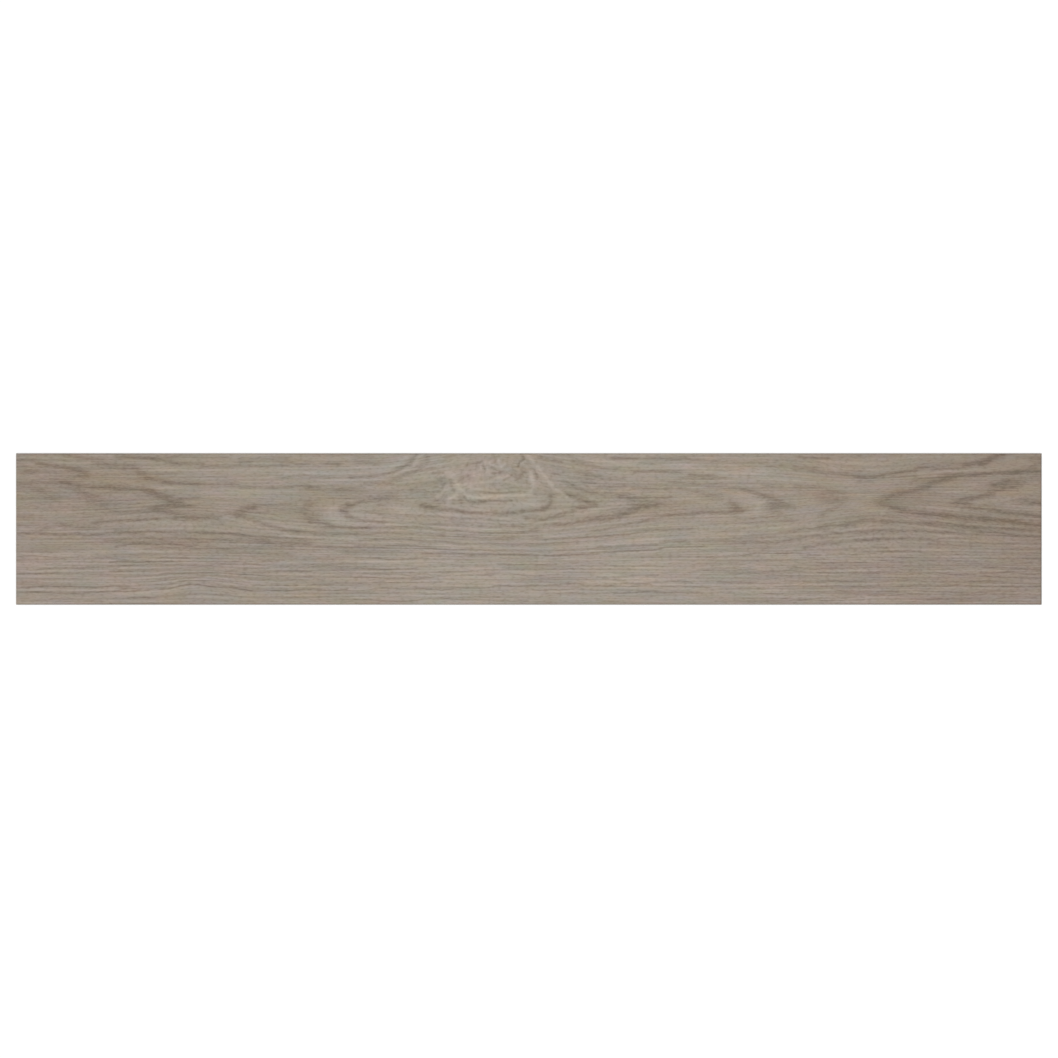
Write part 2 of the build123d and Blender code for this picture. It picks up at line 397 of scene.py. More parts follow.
# %% Dark marks of the straight grain
straight_grain = [
    (0.60, 1.1, 0.0, [(18, 555.5), (40, 555.5), (62, 557), (80, 558),
                      (105, 557.5), (122, 559), (150, 559.5)]),
    (0.80, 1.0, 0.0, [(110, 562), (120, 560.5), (135, 561), (160, 561), (172, 560.5)]),
    (0.40, 1.0, 0.0, [(157, 557.5), (175, 557), (187, 557.5)]),
    (0.50, 1.0, 0.0, [(118, 565), (135, 564), (160, 564), (190, 564.5),
                      (236, 564), (250, 563.5), (265, 565), (312, 565)]),
    (0.65, 1.1, 0.0, [(312, 565), (332, 565)]),
    (0.60, 1.2, 0.0, [(36, 568), (60, 568), (80, 567.5), (100, 566.5), (118, 566.5)]),
    (0.75, 1.3, -0.3, [(112, 570), (122, 570.5), (131, 571)]),
    (0.55, 1.2, 0.0, [(18, 572.5), (40, 573), (57, 572.5)]),
    (0.45, 1.1, 0.0, [(158, 573.5), (180, 572.5), (218, 572.5), (228, 570.5), (235, 569), (247, 569)]),
    (0.65, 1.1, 0.0, [(276, 570), (290, 570.5), (312, 571)]),
    (0.45, 0.9, 0.0, [(236, 574), (262, 575), (280, 576), (314, 576)]),
    (0.45, 0.9, 0.0, [(160, 578.5), (185, 576.5), (222, 576), (232, 578),
                      (246, 579.5), (290, 580), (322, 579)]),
    (0.60, 1.0, 0.0, [(178, 581), (195, 580), (215, 580.5), (230, 581.5),
                      (240, 583.5), (255, 584.5), (297, 585)]),
    (0.55, 0.9, 0.0, [(308, 584.5), (332, 584)]),
    (0.35, 0.9, 0.0, [(18, 582), (47, 582)]),
    (0.50, 1.0, 0.0, [(118, 586), (140, 584.5), (160, 584), (174, 582.5)]),
    (0.85, 1.2, 0.0, [(16, 587), (36, 587), (60, 586), (90, 586.5), (110, 586), (127, 585.5)]),
    (0.75, 1.1, 0.0, [(146, 589.5), (156, 588.5), (166, 588), (175, 586),
                      (182, 584.5), (192, 584), (206, 585.5), (222, 586.5)]),
    (0.70, 1.1, 0.0, [(222, 586.5), (236, 588), (248, 589.5), (262, 590),
                      (287, 590), (306, 589.5), (345, 589)]),
    (0.60, 1.1, 0.0, [(16, 592), (40, 592), (60, 593), (79, 593),
                      (86, 591.5), (100, 591), (125, 590.5), (147, 590)]),
    (0.35, 1.0, 0.0, [(214, 594), (237, 594)]),
    (0.60, 1.6, 0.0, [(118, 588.5), (146, 588.5), (165, 587)]),
    (0.55, 1.4, 0.0, [(232, 561), (262, 561), (286, 559.5)]),
    (0.45, 1.1, 0.0, [(243, 568.5), (270, 568.5), (300, 569)]),
    (0.40, 1.1, 0.0, [(20, 562.5), (45, 562.5), (60, 563)]),
    (0.40, 1.1, 0.1, [(18, 599.5), (36, 599), (72, 598)]),
    (0.50, 1.1, 0.0, [(127, 597), (146, 597), (157, 598)]),
    (0.40, 1.0, 0.1, [(83, 601), (102, 601)]),
    (0.40, 1.0, 0.0, [(263, 595), (282, 595)]),
    (0.40, 1.1, 0.0, [(283, 597.5), (302, 597), (322, 597), (342, 598), (358, 599)]),
    (0.55, 1.1, 0.0, [(423, 547.5), (440, 549), (466, 549), (492, 550),
                      (546, 550.5), (566, 550), (590, 549), (602, 547)]),
    (0.80, 1.7, 0.0, [(422, 553), (446, 553), (460, 552.5), (469, 553.5),
                      (486, 554), (506, 554), (536, 555)]),
    (0.80, 1.2, 0.0, [(536, 555), (560, 554.5), (580, 553.5), (598, 553), (613, 552)]),
    (0.75, 1.1, 0.0, [(613, 551.5), (626, 550.5), (641, 550), (655, 549),
                      (665, 547.5), (682, 546.5), (704, 546)]),
    (0.55, 1.1, 0.1, [(356, 557.5), (376, 557.5), (390, 558.5), (406, 558), (427, 558)]),
    (0.65, 1.2, 0.0, [(356, 567.5), (370, 568), (396, 568.5), (417, 568)]),
    (0.35, 0.9, 0.0, [(417, 567), (450, 566), (472, 565.5), (492, 565.5)]),
    (0.55, 1.0, 0.0, [(498, 564), (520, 564), (540, 564), (552, 563), (577, 562.5)]),
    (0.40, 0.9, 0.0, [(610, 565.5), (630, 566), (645, 565), (662, 566)]),
    (0.35, 0.9, 0.0, [(618, 561), (642, 561)]),
    (0.35, 0.9, 0.0, [(440, 571.5), (476, 570), (502, 569.5), (532, 569), (562, 568.5), (582, 568)]),
    (0.45, 1.0, 0.0, [(358, 572.5), (382, 573), (427, 573)]),
    (0.45, 0.9, 0.0, [(485, 574), (496, 573), (512, 573.5), (532, 574.5), (557, 574)]),
    (0.55, 1.2, 0.0, [(413, 577), (430, 576), (456, 575.5), (492, 575)]),
    (0.55, 1.1, 0.0, [(354, 576.5), (376, 577.5), (396, 578), (417, 578)]),
    (0.50, 1.0, 0.1, [(598, 576), (613, 576), (626, 576), (640, 575), (657, 575)]),
    (0.50, 1.0, 0.0, [(354, 581.5), (386, 582), (406, 581.5), (442, 581)]),
    (0.60, 1.1, 0.0, [(493, 585.5), (516, 585), (542, 585), (562, 584),
                      (606, 584.5), (616, 584), (630, 583.5), (648, 583)]),
    (0.80, 1.4, 0.0, [(624, 582.5), (640, 583.5), (666, 581), (692, 581.5)]),
    (0.55, 1.2, 0.0, [(604, 577.5), (612, 578.5), (624, 580)]),
    (0.45, 1.2, 0.0, [(606, 585), (630, 585.5), (650, 584.5)]),
    (0.45, 1.3, 0.0, [(404, 575.5), (434, 575.5), (470, 575)]),
    (0.45, 1.2, 0.0, [(500, 558), (530, 558.5), (562, 558)]),
    (0.50, 1.1, 0.0, [(373, 588), (392, 588), (412, 588), (440, 588.5),
                      (462, 588), (480, 587.5), (492, 586.5)]),
    (0.45, 1.0, 0.0, [(503, 591), (526, 590.5), (546, 589.5), (572, 589), (597, 588.5)]),
    (0.40, 1.0, 0.0, [(393, 592), (432, 592.5), (452, 592), (472, 593), (502, 593)]),
    (0.50, 1.0, 0.1, [(558, 593), (590, 593), (606, 592.5), (646, 591.5),
                      (660, 592), (700, 592), (720, 592)]),
    (0.45, 1.0, 0.0, [(460, 596), (497, 596.5)]),
    (0.55, 1.1, 0.2, [(354, 599), (371, 598.5), (390, 600.5), (406, 601), (422, 599)]),
    (0.50, 1.0, 0.2, [(422, 598.5), (445, 598), (466, 598.5), (486, 599.5), (506, 600.5), (527, 600.5)]),
    (0.40, 1.0, 0.0, [(598, 600), (617, 601)]),
    (0.50, 1.0, 0.0, [(684, 586), (710, 586.5)]),
    (0.40, 0.9, 0.0, [(688, 565), (704, 565)]),
    (0.75, 1.0, 0.0, [(724, 554.5), (748, 554), (756, 553), (776, 553),
                      (802, 553.5), (840, 554), (880, 553.5)]),
    (0.55, 1.1, 0.0, [(698, 569), (720, 569.5), (754, 569.5)]),
    (0.50, 1.0, 0.0, [(763, 570.5), (786, 570), (802, 570)]),
    (0.40, 0.9, 0.0, [(713, 565), (730, 564), (744, 563.5)]),
    (0.40, 1.1, 0.0, [(803, 557.5), (827, 558)]),
    (0.45, 1.1, 0.0, [(715, 567), (735, 566.5), (752, 566)]),
    (0.50, 1.0, 0.1, [(810, 561.5), (830, 562), (867, 562)]),
    (0.60, 1.1, 0.0, [(878, 560), (896, 560.5), (916, 561), (932, 560.5), (952, 561), (977, 560.5)]),
    (0.50, 1.1, 0.4, [(788, 567), (805, 567.5), (816, 568), (836, 568.5), (846, 568), (857, 567.5)]),
    (0.35, 0.9, 0.1, [(857, 567.5), (871, 566.5), (911, 566), (932, 566.5)]),
    (0.55, 1.2, 0.1, [(818, 572.5), (857, 572.5)]),
    (0.60, 1.4, 0.1, [(862, 572), (877, 572)]),
    (0.40, 0.9, 0.0, [(878, 570.5), (906, 570), (932, 569.5), (952, 569)]),
    (0.45, 1.0, 0.0, [(903, 573), (926, 573), (952, 573.5), (974, 574)]),
    (0.80, 1.2, 0.1, [(980, 572), (990, 572), (1006, 572), (1020, 573), (1041, 573)]),
    (0.65, 1.1, 0.1, [(980, 576), (990, 576), (1010, 577), (1041, 577)]),
    (0.55, 1.1, 0.2, [(983, 567), (1000, 567.5), (1016, 568.5), (1041, 569)]),
    (0.60, 1.0, 0.0, [(718, 581.5), (730, 582), (756, 582)]),
    (0.55, 1.0, 0.0, [(783, 580.5), (802, 581), (832, 581), (862, 580.5)]),
    (0.50, 1.0, 0.0, [(893, 580), (920, 581), (952, 581), (1007, 581)]),
    (0.45, 0.9, 0.1, [(783, 585), (842, 585.5), (878, 585)]),
    (0.45, 1.0, 0.0, [(698, 556.5), (714, 557), (732, 556)]),
    (0.40, 1.0, 0.0, [(700, 574.5), (730, 574), (760, 573.5), (782, 574)]),
    (0.50, 1.0, 0.1, [(898, 585.5), (926, 585), (946, 584.5), (972, 585), (1000, 586), (1041, 586)]),
    (0.40, 1.0, 0.0, [(738, 587), (755, 587), (767, 586.5)]),
    (0.75, 1.0, 0.0, [(833, 590), (846, 590), (856, 589)]),
    (0.40, 1.0, 0.1, [(720, 592), (742, 593), (766, 593), (782, 592.5)]),
    (0.55, 1.1, 0.2, [(878, 591), (906, 591), (944, 591), (956, 592),
                      (972, 592), (1000, 591), (1041, 590.5)]),
    (0.55, 1.0, 0.3, [(858, 594), (886, 594.5), (906, 594), (956, 594), (1010, 594), (1041, 594)]),
    (0.65, 1.1, 0.1, [(783, 598), (801, 598.5), (832, 597.5), (862, 597)]),
    (0.70, 1.0, 0.1, [(818, 600.5), (841, 600), (862, 600)]),
    (0.40, 1.1, 0.0, [(928, 599.5), (947, 599)]),
    (0.45, 1.1, 0.2, [(998, 597), (1041, 597.5)]),
    (0.40, 1.0, 0.1, [(998, 601), (1041, 601.5)]),
    (0.45, 1.1, 0.1, [(878, 550.5), (900, 550), (917, 551), (936, 553.5), (967, 554)]),
    (0.40, 1.2, 0.1, [(893, 556), (913, 556.5)]),
    (0.55, 1.1, 0.2, [(998, 559), (1041, 559)]),
    (0.50, 1.1, 0.1, [(1012, 563), (1041, 563)]),
]
print(f"{len(straight_grain)} dark marks in the straight grain")

# %% [markdown]
# Pale marks are the late wood between two rings, filled with the white of the liming.

# %% Pale marks of the rings
pale_marks = [
    (0.60, 1.6, -0.5, [(285, 473), (300, 472.5), (330, 471), (356, 468.5),
                       (380, 468.5), (396, 464), (405, 457)]),
    (0.70, 1.2, -0.4, [(322, 479), (346, 479.5), (372, 478.5), (392, 475),
                       (403, 470), (413, 463), (418, 456)]),
    (0.45, 1.0, 0.2, [(140, 463.5), (166, 464.5)]),
    (0.15, 1.8, 0.0, [(200, 492), (245, 492), (290, 492)]),
    (0.50, 1.0, -0.2, [(150, 486.5), (178, 487)]),
    (0.40, 1.0, 0.3, [(182, 458), (216, 458.5)]),
    (0.40, 1.4, 0.0, [(158, 522.5), (190, 522.5), (216, 522)]),
    (0.50, 1.3, 0.3, [(228, 523), (246, 524), (262, 527), (272, 530)]),
    (0.55, 1.6, 0.2, [(284, 526), (298, 527.5), (310, 529)]),
    (0.65, 1.2, 0.0, [(284, 534), (298, 536.5), (320, 538), (352, 538)]),
    (0.50, 2.0, -0.4, [(333, 508), (331, 514), (336, 521)]),
    (0.65, 2.8, 0.2, [(396, 505), (402, 508), (407, 511)]),
    (0.40, 1.2, 0.0, [(412, 500.5), (421, 500.5)]),
    (0.35, 1.6, -0.2, [(424, 502), (440, 504.5), (460, 507), (490, 507.5), (520, 506), (534, 503.5)]),
    (0.35, 1.6, 0.0, [(62, 552), (80, 552.5), (102, 551.5)]),
    (0.45, 1.6, 0.0, [(160, 470), (190, 470), (225, 470), (262, 471)]),
    (0.25, 1.4, 0.1, [(574, 514), (590, 512), (604, 508), (616, 504)]),
    (0.45, 1.0, 0.0, [(448, 527.5), (470, 529), (500, 529)]),
    (0.45, 1.0, -0.1, [(486, 521.5), (510, 521.5), (536, 521.5), (556, 520.5)]),
    (0.30, 1.0, -0.2, [(546, 535.5), (566, 535.5), (582, 534)]),
    (0.45, 1.2, 0.1, [(576, 545), (594, 544), (612, 543)]),
    (0.50, 1.2, 0.1, [(452, 547), (472, 546)]),
    (0.30, 1.0, 0.0, [(604, 530.5), (625, 531), (658, 531)]),
    (0.45, 2.0, 0.1, [(616, 541), (636, 539.5), (660, 538.5)]),
    (0.60, 1.8, 0.1, [(594, 460.5), (620, 462.5), (650, 464.5), (690, 466)]),
    (0.45, 1.4, 0.1, [(700, 469), (730, 473), (766, 473)]),
    (0.45, 1.2, 0.2, [(735, 477), (770, 478), (798, 480)]),
    (0.45, 2.4, -0.2, [(738, 496), (752, 499), (761, 504), (757, 511)]),
    (0.40, 2.0, 0.2, [(852, 505), (868, 508), (880, 511)]),
    (0.50, 1.0, 0.0, [(845, 535), (862, 535.5)]),
    (0.25, 2.0, -0.4, [(946, 494), (960, 490), (974, 486)]),
    (0.40, 1.4, -0.4, [(976, 501.5), (1000, 499), (1024, 496)]),
    (0.35, 1.4, 0.0, [(1016, 491), (1041, 490)]),
    (0.50, 1.2, 0.2, [(1006, 504), (1022, 506), (1038, 508)]),
    (0.40, 1.0, -0.1, [(700, 532), (718, 533), (740, 534)]),
    (0.40, 1.0, 0.0, [(762, 527), (786, 527)]),
    (0.35, 1.6, 0.0, [(742, 532), (758, 532), (776, 530.5)]),
    (0.35, 1.0, 0.0, [(822, 564), (860, 564.5), (896, 564)]),
    (0.50, 0.9, 0.0, [(26, 560), (60, 560), (88, 559.5)]),
    (0.35, 1.0, 0.0, [(84, 578), (108, 578.5)]),
    (0.35, 1.1, 0.0, [(105, 581.5), (135, 580.5), (160, 579.5)]),
    (0.50, 0.9, 0.0, [(182, 562), (202, 562)]),
    (0.60, 1.2, 0.0, [(280, 562), (306, 562), (332, 561), (362, 561), (400, 561)]),
    (0.85, 1.0, -0.1, [(400, 560.5), (426, 560), (452, 560)]),
    (0.50, 1.1, 0.0, [(268, 573), (302, 574)]),
    (0.55, 1.1, 0.1, [(296, 553.5), (342, 553)]),
    (0.30, 1.0, 0.0, [(186, 586.5), (202, 588)]),
    (0.40, 1.0, 0.1, [(272, 599), (297, 599)]),
    (0.50, 1.0, 0.0, [(472, 568), (498, 568)]),
    (0.55, 1.1, 0.3, [(456, 572.5), (482, 573)]),
    (0.50, 1.2, 0.0, [(502, 572), (534, 572.5)]),
    (0.40, 1.2, 0.0, [(480, 577), (524, 577)]),
    (0.60, 0.9, 0.0, [(586, 581), (613, 581)]),
    (0.50, 0.9, 0.1, [(606, 578), (652, 578)]),
    (0.60, 0.9, 0.0, [(597, 573), (617, 573)]),
    (0.50, 1.0, 0.0, [(636, 568), (657, 568)]),
    (0.50, 0.9, 0.0, [(538, 562), (562, 562)]),
    (0.50, 1.0, 0.0, [(486, 583), (514, 583)]),
    (0.50, 1.1, 0.0, [(416, 564), (437, 564.5)]),
    (0.50, 1.2, 0.0, [(512, 593), (538, 593.5)]),
    (0.35, 1.0, 0.0, [(406, 594.5), (444, 594)]),
    (0.50, 1.1, 0.0, [(656, 596.5), (694, 596.5)]),
    (0.50, 1.1, 0.0, [(698, 573), (724, 573)]),
    (0.60, 1.2, 0.0, [(766, 557), (797, 557.5)]),
    (0.50, 1.0, 0.0, [(763, 589), (784, 589.5)]),
    (0.50, 1.0, 0.0, [(757, 595), (792, 595), (822, 596)]),
    (0.75, 1.0, 0.1, [(837, 570), (862, 570)]),
    (0.40, 1.0, 0.0, [(797, 583), (834, 583)]),
]
print(f"{len(pale_marks)} pale marks")

# %% [markdown]
# Round the knot the wood swirls, and the marks there run at all angles. They are drawn
# without the smear along the grain that suits the rest of the plank.

# %% Marks of the knot
knot_dark = [
    (1.00, 1.0, 0.2, [(520.5, 453.5), (522.5, 456), (524, 458.5), (522, 460.5), (519.5, 462), (518, 466)]),
    (0.18, 2.6, 1.6, [(513, 465), (518, 467), (526, 466)]),
    (0.55, 1.2, 0.5, [(513.5, 473), (518.5, 475), (524.5, 471.5)]),
    (0.50, 1.2, 0.5, [(514.5, 479), (520.5, 476)]),
    (0.25, 1.0, 1.0, [(511, 471), (518, 471.5), (525, 469.5)]),
    (0.15, 2.6, 1.8, [(514, 475), (520, 478), (525, 476)]),
    (0.65, 1.0, 0.2, [(467, 464), (472, 463), (479.5, 461.5)]),
    (0.70, 0.9, 0.0, [(482, 465), (484.5, 469)]),
    (0.60, 0.9, 0.0, [(491, 466), (495, 468.5), (498.5, 471), (503, 470.5)]),
    (0.45, 0.9, 0.0, [(494, 473.5), (500, 473)]),
    (0.40, 1.4, 0.8, [(493, 454.5), (495, 459)]),
    (0.60, 0.9, 1.2, [(503, 480), (507, 477.5), (511, 474.5)]),
    (0.45, 0.9, 1.0, [(489, 479), (494, 476.5)]),
    (0.55, 0.9, -0.2, [(479, 492), (489, 492.5), (500, 492.5), (512, 491.5), (520, 490.5)]),
    (0.85, 1.2, -0.2, [(464, 496), (466, 499), (470, 501), (480, 501), (500, 500.5), (511, 500)]),
    (0.45, 2.2, 0.6, [(460, 496), (460.5, 502)]),
    (0.40, 1.0, -0.1, [(514, 498.5), (520, 498.5), (527, 498)]),
    (0.35, 1.0, -0.1, [(466, 498.5), (478, 499)]),
    (0.30, 1.4, 0.2, [(541, 500), (548, 499)]),
    (0.65, 1.0, -0.1, [(534, 469), (536, 474.5), (538, 477)]),
    (0.65, 2.3, 0.4, [(550, 495.5), (550.5, 497.5), (551, 500.5), (548, 505), (543.5, 508)]),
    (0.65, 1.1, -0.2, [(433, 501.5), (438, 499), (442, 497), (446, 495.5)]),
    (0.40, 1.2, -0.1, [(433, 492), (441, 488), (445, 482)]),
    (0.35, 1.2, -0.1, [(440.5, 477.5), (441.5, 486)]),
    (0.45, 1.2, 0.0, [(450, 479), (451, 486), (454, 490)]),
    (0.45, 1.0, -0.1, [(463.5, 477.5), (468, 475)]),
    (0.55, 1.0, 0.1, [(432, 472), (443, 472)]),
    (0.55, 1.0, 0.1, [(434, 477), (444, 477)]),
    (0.50, 1.6, 0.6, [(445, 457), (453, 455)]),
    (0.60, 1.3, 0.4, [(538, 457), (546, 458), (552, 459.5), (561, 461)]),
    (0.45, 1.1, 0.3, [(551, 473), (562, 473)]),
    (0.50, 1.1, 0.2, [(583, 483), (589, 486.5)]),
    (0.35, 1.0, 0.0, [(490, 484), (505, 483.5)]),
    (0.40, 1.6, 0.2, [(426, 464), (437, 462), (449, 460.5)]),
    (0.35, 1.0, 0.0, [(496, 488.5), (515, 487)]),
    (0.35, 1.0, 0.1, [(526, 480), (526.5, 488)]),
]
knot_pale = [
    (0.85, 1.8, 0.0, [(451, 477), (456, 483), (459, 487.5), (462.5, 492)]),
    (0.80, 1.8, -0.2, [(447.5, 502), (449.5, 498.5), (452, 496), (456, 493.5)]),
    (0.90, 1.7, 0.1, [(463, 493), (467, 495), (477, 497), (488, 496.5),
                      (512, 495), (523, 494.5), (529, 492.5)]),
    (0.85, 1.9, -0.2, [(530, 491), (532, 486), (532.5, 482), (531.5, 477), (530, 472)]),
    (0.90, 1.7, -0.1, [(528, 456), (532, 460), (535.5, 463.5), (540, 470.5), (546, 478), (550.5, 484)]),
    (0.90, 1.6, -0.1, [(550.5, 484), (555, 489), (561, 493), (566, 496.5)]),
    (0.90, 1.1, -0.2, [(484.5, 462), (486, 466), (487.5, 471)]),
    (0.70, 1.0, -0.4, [(480.5, 464), (480.5, 468)]),
    (0.80, 1.2, -0.6, [(489, 462), (491, 464.5), (494.5, 464.5)]),
    (0.95, 1.2, -0.5, [(498, 460), (499.5, 464.5), (501, 466), (504.5, 463.5)]),
    (0.60, 1.2, -0.2, [(485.5, 472.5), (489, 474)]),
    (0.80, 1.4, 1.0, [(494, 478), (499, 477), (503, 476), (508.5, 474.5)]),
    (0.80, 1.9, -0.1, [(474, 475), (481, 475.5)]),
    (0.50, 1.9, -0.8, [(465, 484), (473, 488.5), (480, 489.5)]),
    (0.40, 1.8, -0.2, [(446, 470), (451, 472), (455, 475)]),
    (0.80, 0.9, 0.0, [(520.5, 462.5), (524.5, 461.5)]),
    (0.30, 2.4, -0.8, [(521, 504), (535, 503.5)]),
    (0.40, 1.2, -0.1, [(448, 487), (441, 492), (433, 498)]),
    (0.40, 1.2, -0.1, [(560, 481), (570, 484)]),
    (0.30, 2.0, -0.3, [(476, 482), (500, 481)]),
    (0.45, 1.4, 0.0, [(575, 456), (583, 457.5), (592, 460)]),
]
print(f"{len(knot_dark)} dark and {len(knot_pale)} pale marks round the knot")

# %% [markdown]
# Washes are broad and faint. They make the insides of the tongues and some stretches of
# the straight grain a little browner, greyer or paler than the wood around them.

# %% Dark and pale washes
dark_washes = [
    (0.14, 9.0, 4.5, [(40, 470), (90, 477), (140, 484)]),
    (0.12, 4.0, 3.0, [(20, 538), (120, 540), (220, 540)]),
    (0.08, 7.0, -4.0, [(24, 474), (44, 476)]),
    (0.06, 6.0, -4.0, [(108, 504), (132, 503)]),
    (0.10, 5.0, 3.0, [(180, 503), (200, 505), (215, 510)]),
    (0.24, 12.0, 0.5, [(20, 494), (60, 501), (85, 506)]),
    (0.16, 3.0, 0.5, [(248, 510), (268, 510.5), (290, 510)]),
    (0.16, 9.0, 0.0, [(205, 563), (260, 562), (335, 560)]),
    (0.10, 9.0, 0.0, [(150, 513), (205, 513)]),
    (0.14, 2.5, 0.5, [(850, 514), (880, 513.5), (905, 515.5)]),
    (0.12, 3.5, 1.0, [(590, 480), (640, 482), (690, 484)]),
    (0.10, 7.0, 0.0, [(590, 494), (650, 492)]),
    (0.20, 3.0, 0.0, [(425, 554), (465, 555)]),
    (0.14, 8.0, 0.0, [(722, 466), (790, 466)]),
    (0.10, 7.0, 0.0, [(866, 513), (914, 514)]),
    (0.18, 3.0, 0.5, [(620, 511), (640, 510.5), (662, 509.5)]),
    (0.20, 4.5, 2.5, [(642, 502), (655, 505), (668, 505)]),
    (0.12, 4.0, 3.0, [(668, 510), (690, 509), (725, 508)]),
    (0.15, 3.5, 0.3, [(720, 523), (750, 523), (785, 521)]),
    (0.25, 2.0, 0.5, [(846, 497), (858, 497)]),
    (0.10, 4.0, 0.5, [(730, 484), (780, 490), (800, 493)]),
    (0.12, 4.0, 2.5, [(800, 490), (826, 495), (846, 500)]),
    (0.28, 6.0, 1.5, [(884, 500), (900, 500), (914, 499)]),
    (0.15, 4.0, 1.5, [(905, 484), (930, 480), (950, 481)]),
    (0.18, 12.0, 1.5, [(985, 512), (1042, 520)]),
    (0.12, 8.0, 1.5, [(1000, 490), (1042, 488)]),
    (0.16, 20.0, 0.3, [(800, 578), (900, 574), (1042, 568)]),
]
pale_washes = [
    (0.30, 7.0, -2.5, [(280, 472), (340, 475), (400, 469), (435, 463)]),
    (0.12, 6.0, -0.5, [(460, 506), (500, 507), (535, 503)]),
    (0.15, 8.0, -0.5, [(480, 484), (515, 484)]),
    (0.30, 9.0, 0.0, [(366, 519), (440, 521), (520, 520)]),
    (0.15, 5.0, 0.0, [(700, 532), (740, 531), (775, 530)]),
    (0.16, 8.0, 0.0, [(345, 541), (400, 541), (460, 540)]),
    (0.20, 8.0, 0.0, [(680, 470), (740, 474), (790, 477)]),
    (0.25, 5.0, -0.8, [(960, 494), (1000, 497)]),
]
print(f"{len(dark_washes)} dark and {len(pale_washes)} pale washes")

# %% [markdown]
# ## A fine grid to carry the marks
#
# The plank is one closed mesh. Its top is a grid with narrow cells, because the print
# changes quickly across the grain and slowly along it. Each corner of the grid carries
# what the marks say there, as named attributes, and the material reads them. The same
# values press the lines into the mesh, so that print and relief are in register, as they
# are on a good plank.

# %% Lay out the grid, with shorter cells round the knot
KNOT_LEFT_PX, KNOT_RIGHT_PX = 425, 605
CELLS_LEFT, CELLS_KNOT, CELLS_RIGHT = 140, 145, 150
CELLS_ALONG, CELLS_ACROSS = CELLS_LEFT + CELLS_KNOT + CELLS_RIGHT, 214
top_half = np.array([length / 2 - bevel_reach, width / 2 - bevel_reach])
knot_left, knot_right = ((x - MIDDLE_PX[0]) * px for x in (KNOT_LEFT_PX, KNOT_RIGHT_PX))
grid_x = np.concatenate([
    np.linspace(-top_half[0], knot_left, CELLS_LEFT, endpoint=False),
    np.linspace(knot_left, knot_right, CELLS_KNOT, endpoint=False),
    np.linspace(knot_right, top_half[0], CELLS_RIGHT + 1),
])
grid_y = np.linspace(-top_half[1], top_half[1], CELLS_ACROSS + 1)
top_x, top_y = (a.ravel() for a in np.meshgrid(grid_x, grid_y))
print(f"top grid: cells {np.diff(grid_x).min() / MM:.2f} to {np.diff(grid_x).max() / MM:.2f} mm long, "
      f"{np.diff(grid_y)[0] / MM:.2f} mm wide")

# %% Walk once round the border of the grid
index = np.arange(top_x.size).reshape(CELLS_ACROSS + 1, CELLS_ALONG + 1)
border = np.concatenate([index[0, :-1], index[:-1, -1], index[-1, :0:-1], index[:0:-1, 0]])
outward = np.array([length, width]) / 2 / top_half
foot_x, foot_y = top_x[border] * outward[0], top_y[border] * outward[1]
all_x = np.concatenate([top_x, foot_x, foot_x])
all_y = np.concatenate([top_y, foot_y, foot_y])
print(f"border: {border.size} corners, repeated at the foot of the bevel and at the back")

# %% [markdown]
# ## Drawing with a soft pen
#
# A mark is a smooth curve through its points, drawn with a pen that is strongest in the
# middle and fades to both sides. The pen is also smeared along the grain, which gives each
# mark a long, thin end. Blender's curves could carry such marks as strips, but tone on the
# corners of one mesh leaves no strips to float or overlap. The wood is never as smooth as a
# drawn curve, so two slow waves make the pen wander by about half a pixel.

# %% Let the pen wander a little
# Each wave: pixels per radian along the grain, how far it leans, and pixels per radian across
WANDER_PX = 0.3
WAVES_PX = [(6.1, 2.0, 4.3), (13.7, -1.7, 7.9)]
px_x = all_x / px + MIDDLE_PX[0]
px_y = MIDDLE_PX[1] - all_y / px
slip = np.zeros(all_x.size)
for wave_along, lean, wave_across in WAVES_PX:
    slip += np.sin(px_x / wave_along + lean * np.sin(px_y / wave_across))
wander = WANDER_PX * px * slip
drawn_y = all_y + wander
print(f"lines wander by up to {np.abs(wander).max() / MM:.2f} mm")

# %% A smooth path through the points of a mark
PATH_STEP = 1.5 * px


def smooth_path(points):
    """A curve through the given points, with a sample about every step."""
    ends = np.vstack([2 * points[0] - points[1], points, 2 * points[-1] - points[-2]])
    pieces = []
    for a, b, c, d in zip(ends, ends[1:], ends[2:], ends[3:]):
        samples = max(2, int(np.hypot(*(c - b)) / PATH_STEP))
        t = np.linspace(0, 1, samples, endpoint=False)[:, None]
        pieces.append(b + (c - a) * t / 2 + (2 * a - 5 * b + 4 * c - d) * t**2 / 2
                      + (3 * b - a - 3 * c + d) * t**3 / 2)
    return np.vstack([*pieces, points[-1:]])


first_points = left_tongues[0][-1]
print(f"first mark: {len(first_points)} points, {len(smooth_path(on_plank(first_points)))} samples")

# %% Draw marks on the corners of the mesh
SMEAR, NO_SMEAR = 2.0, 1.0
PEN_REACH = 3.5


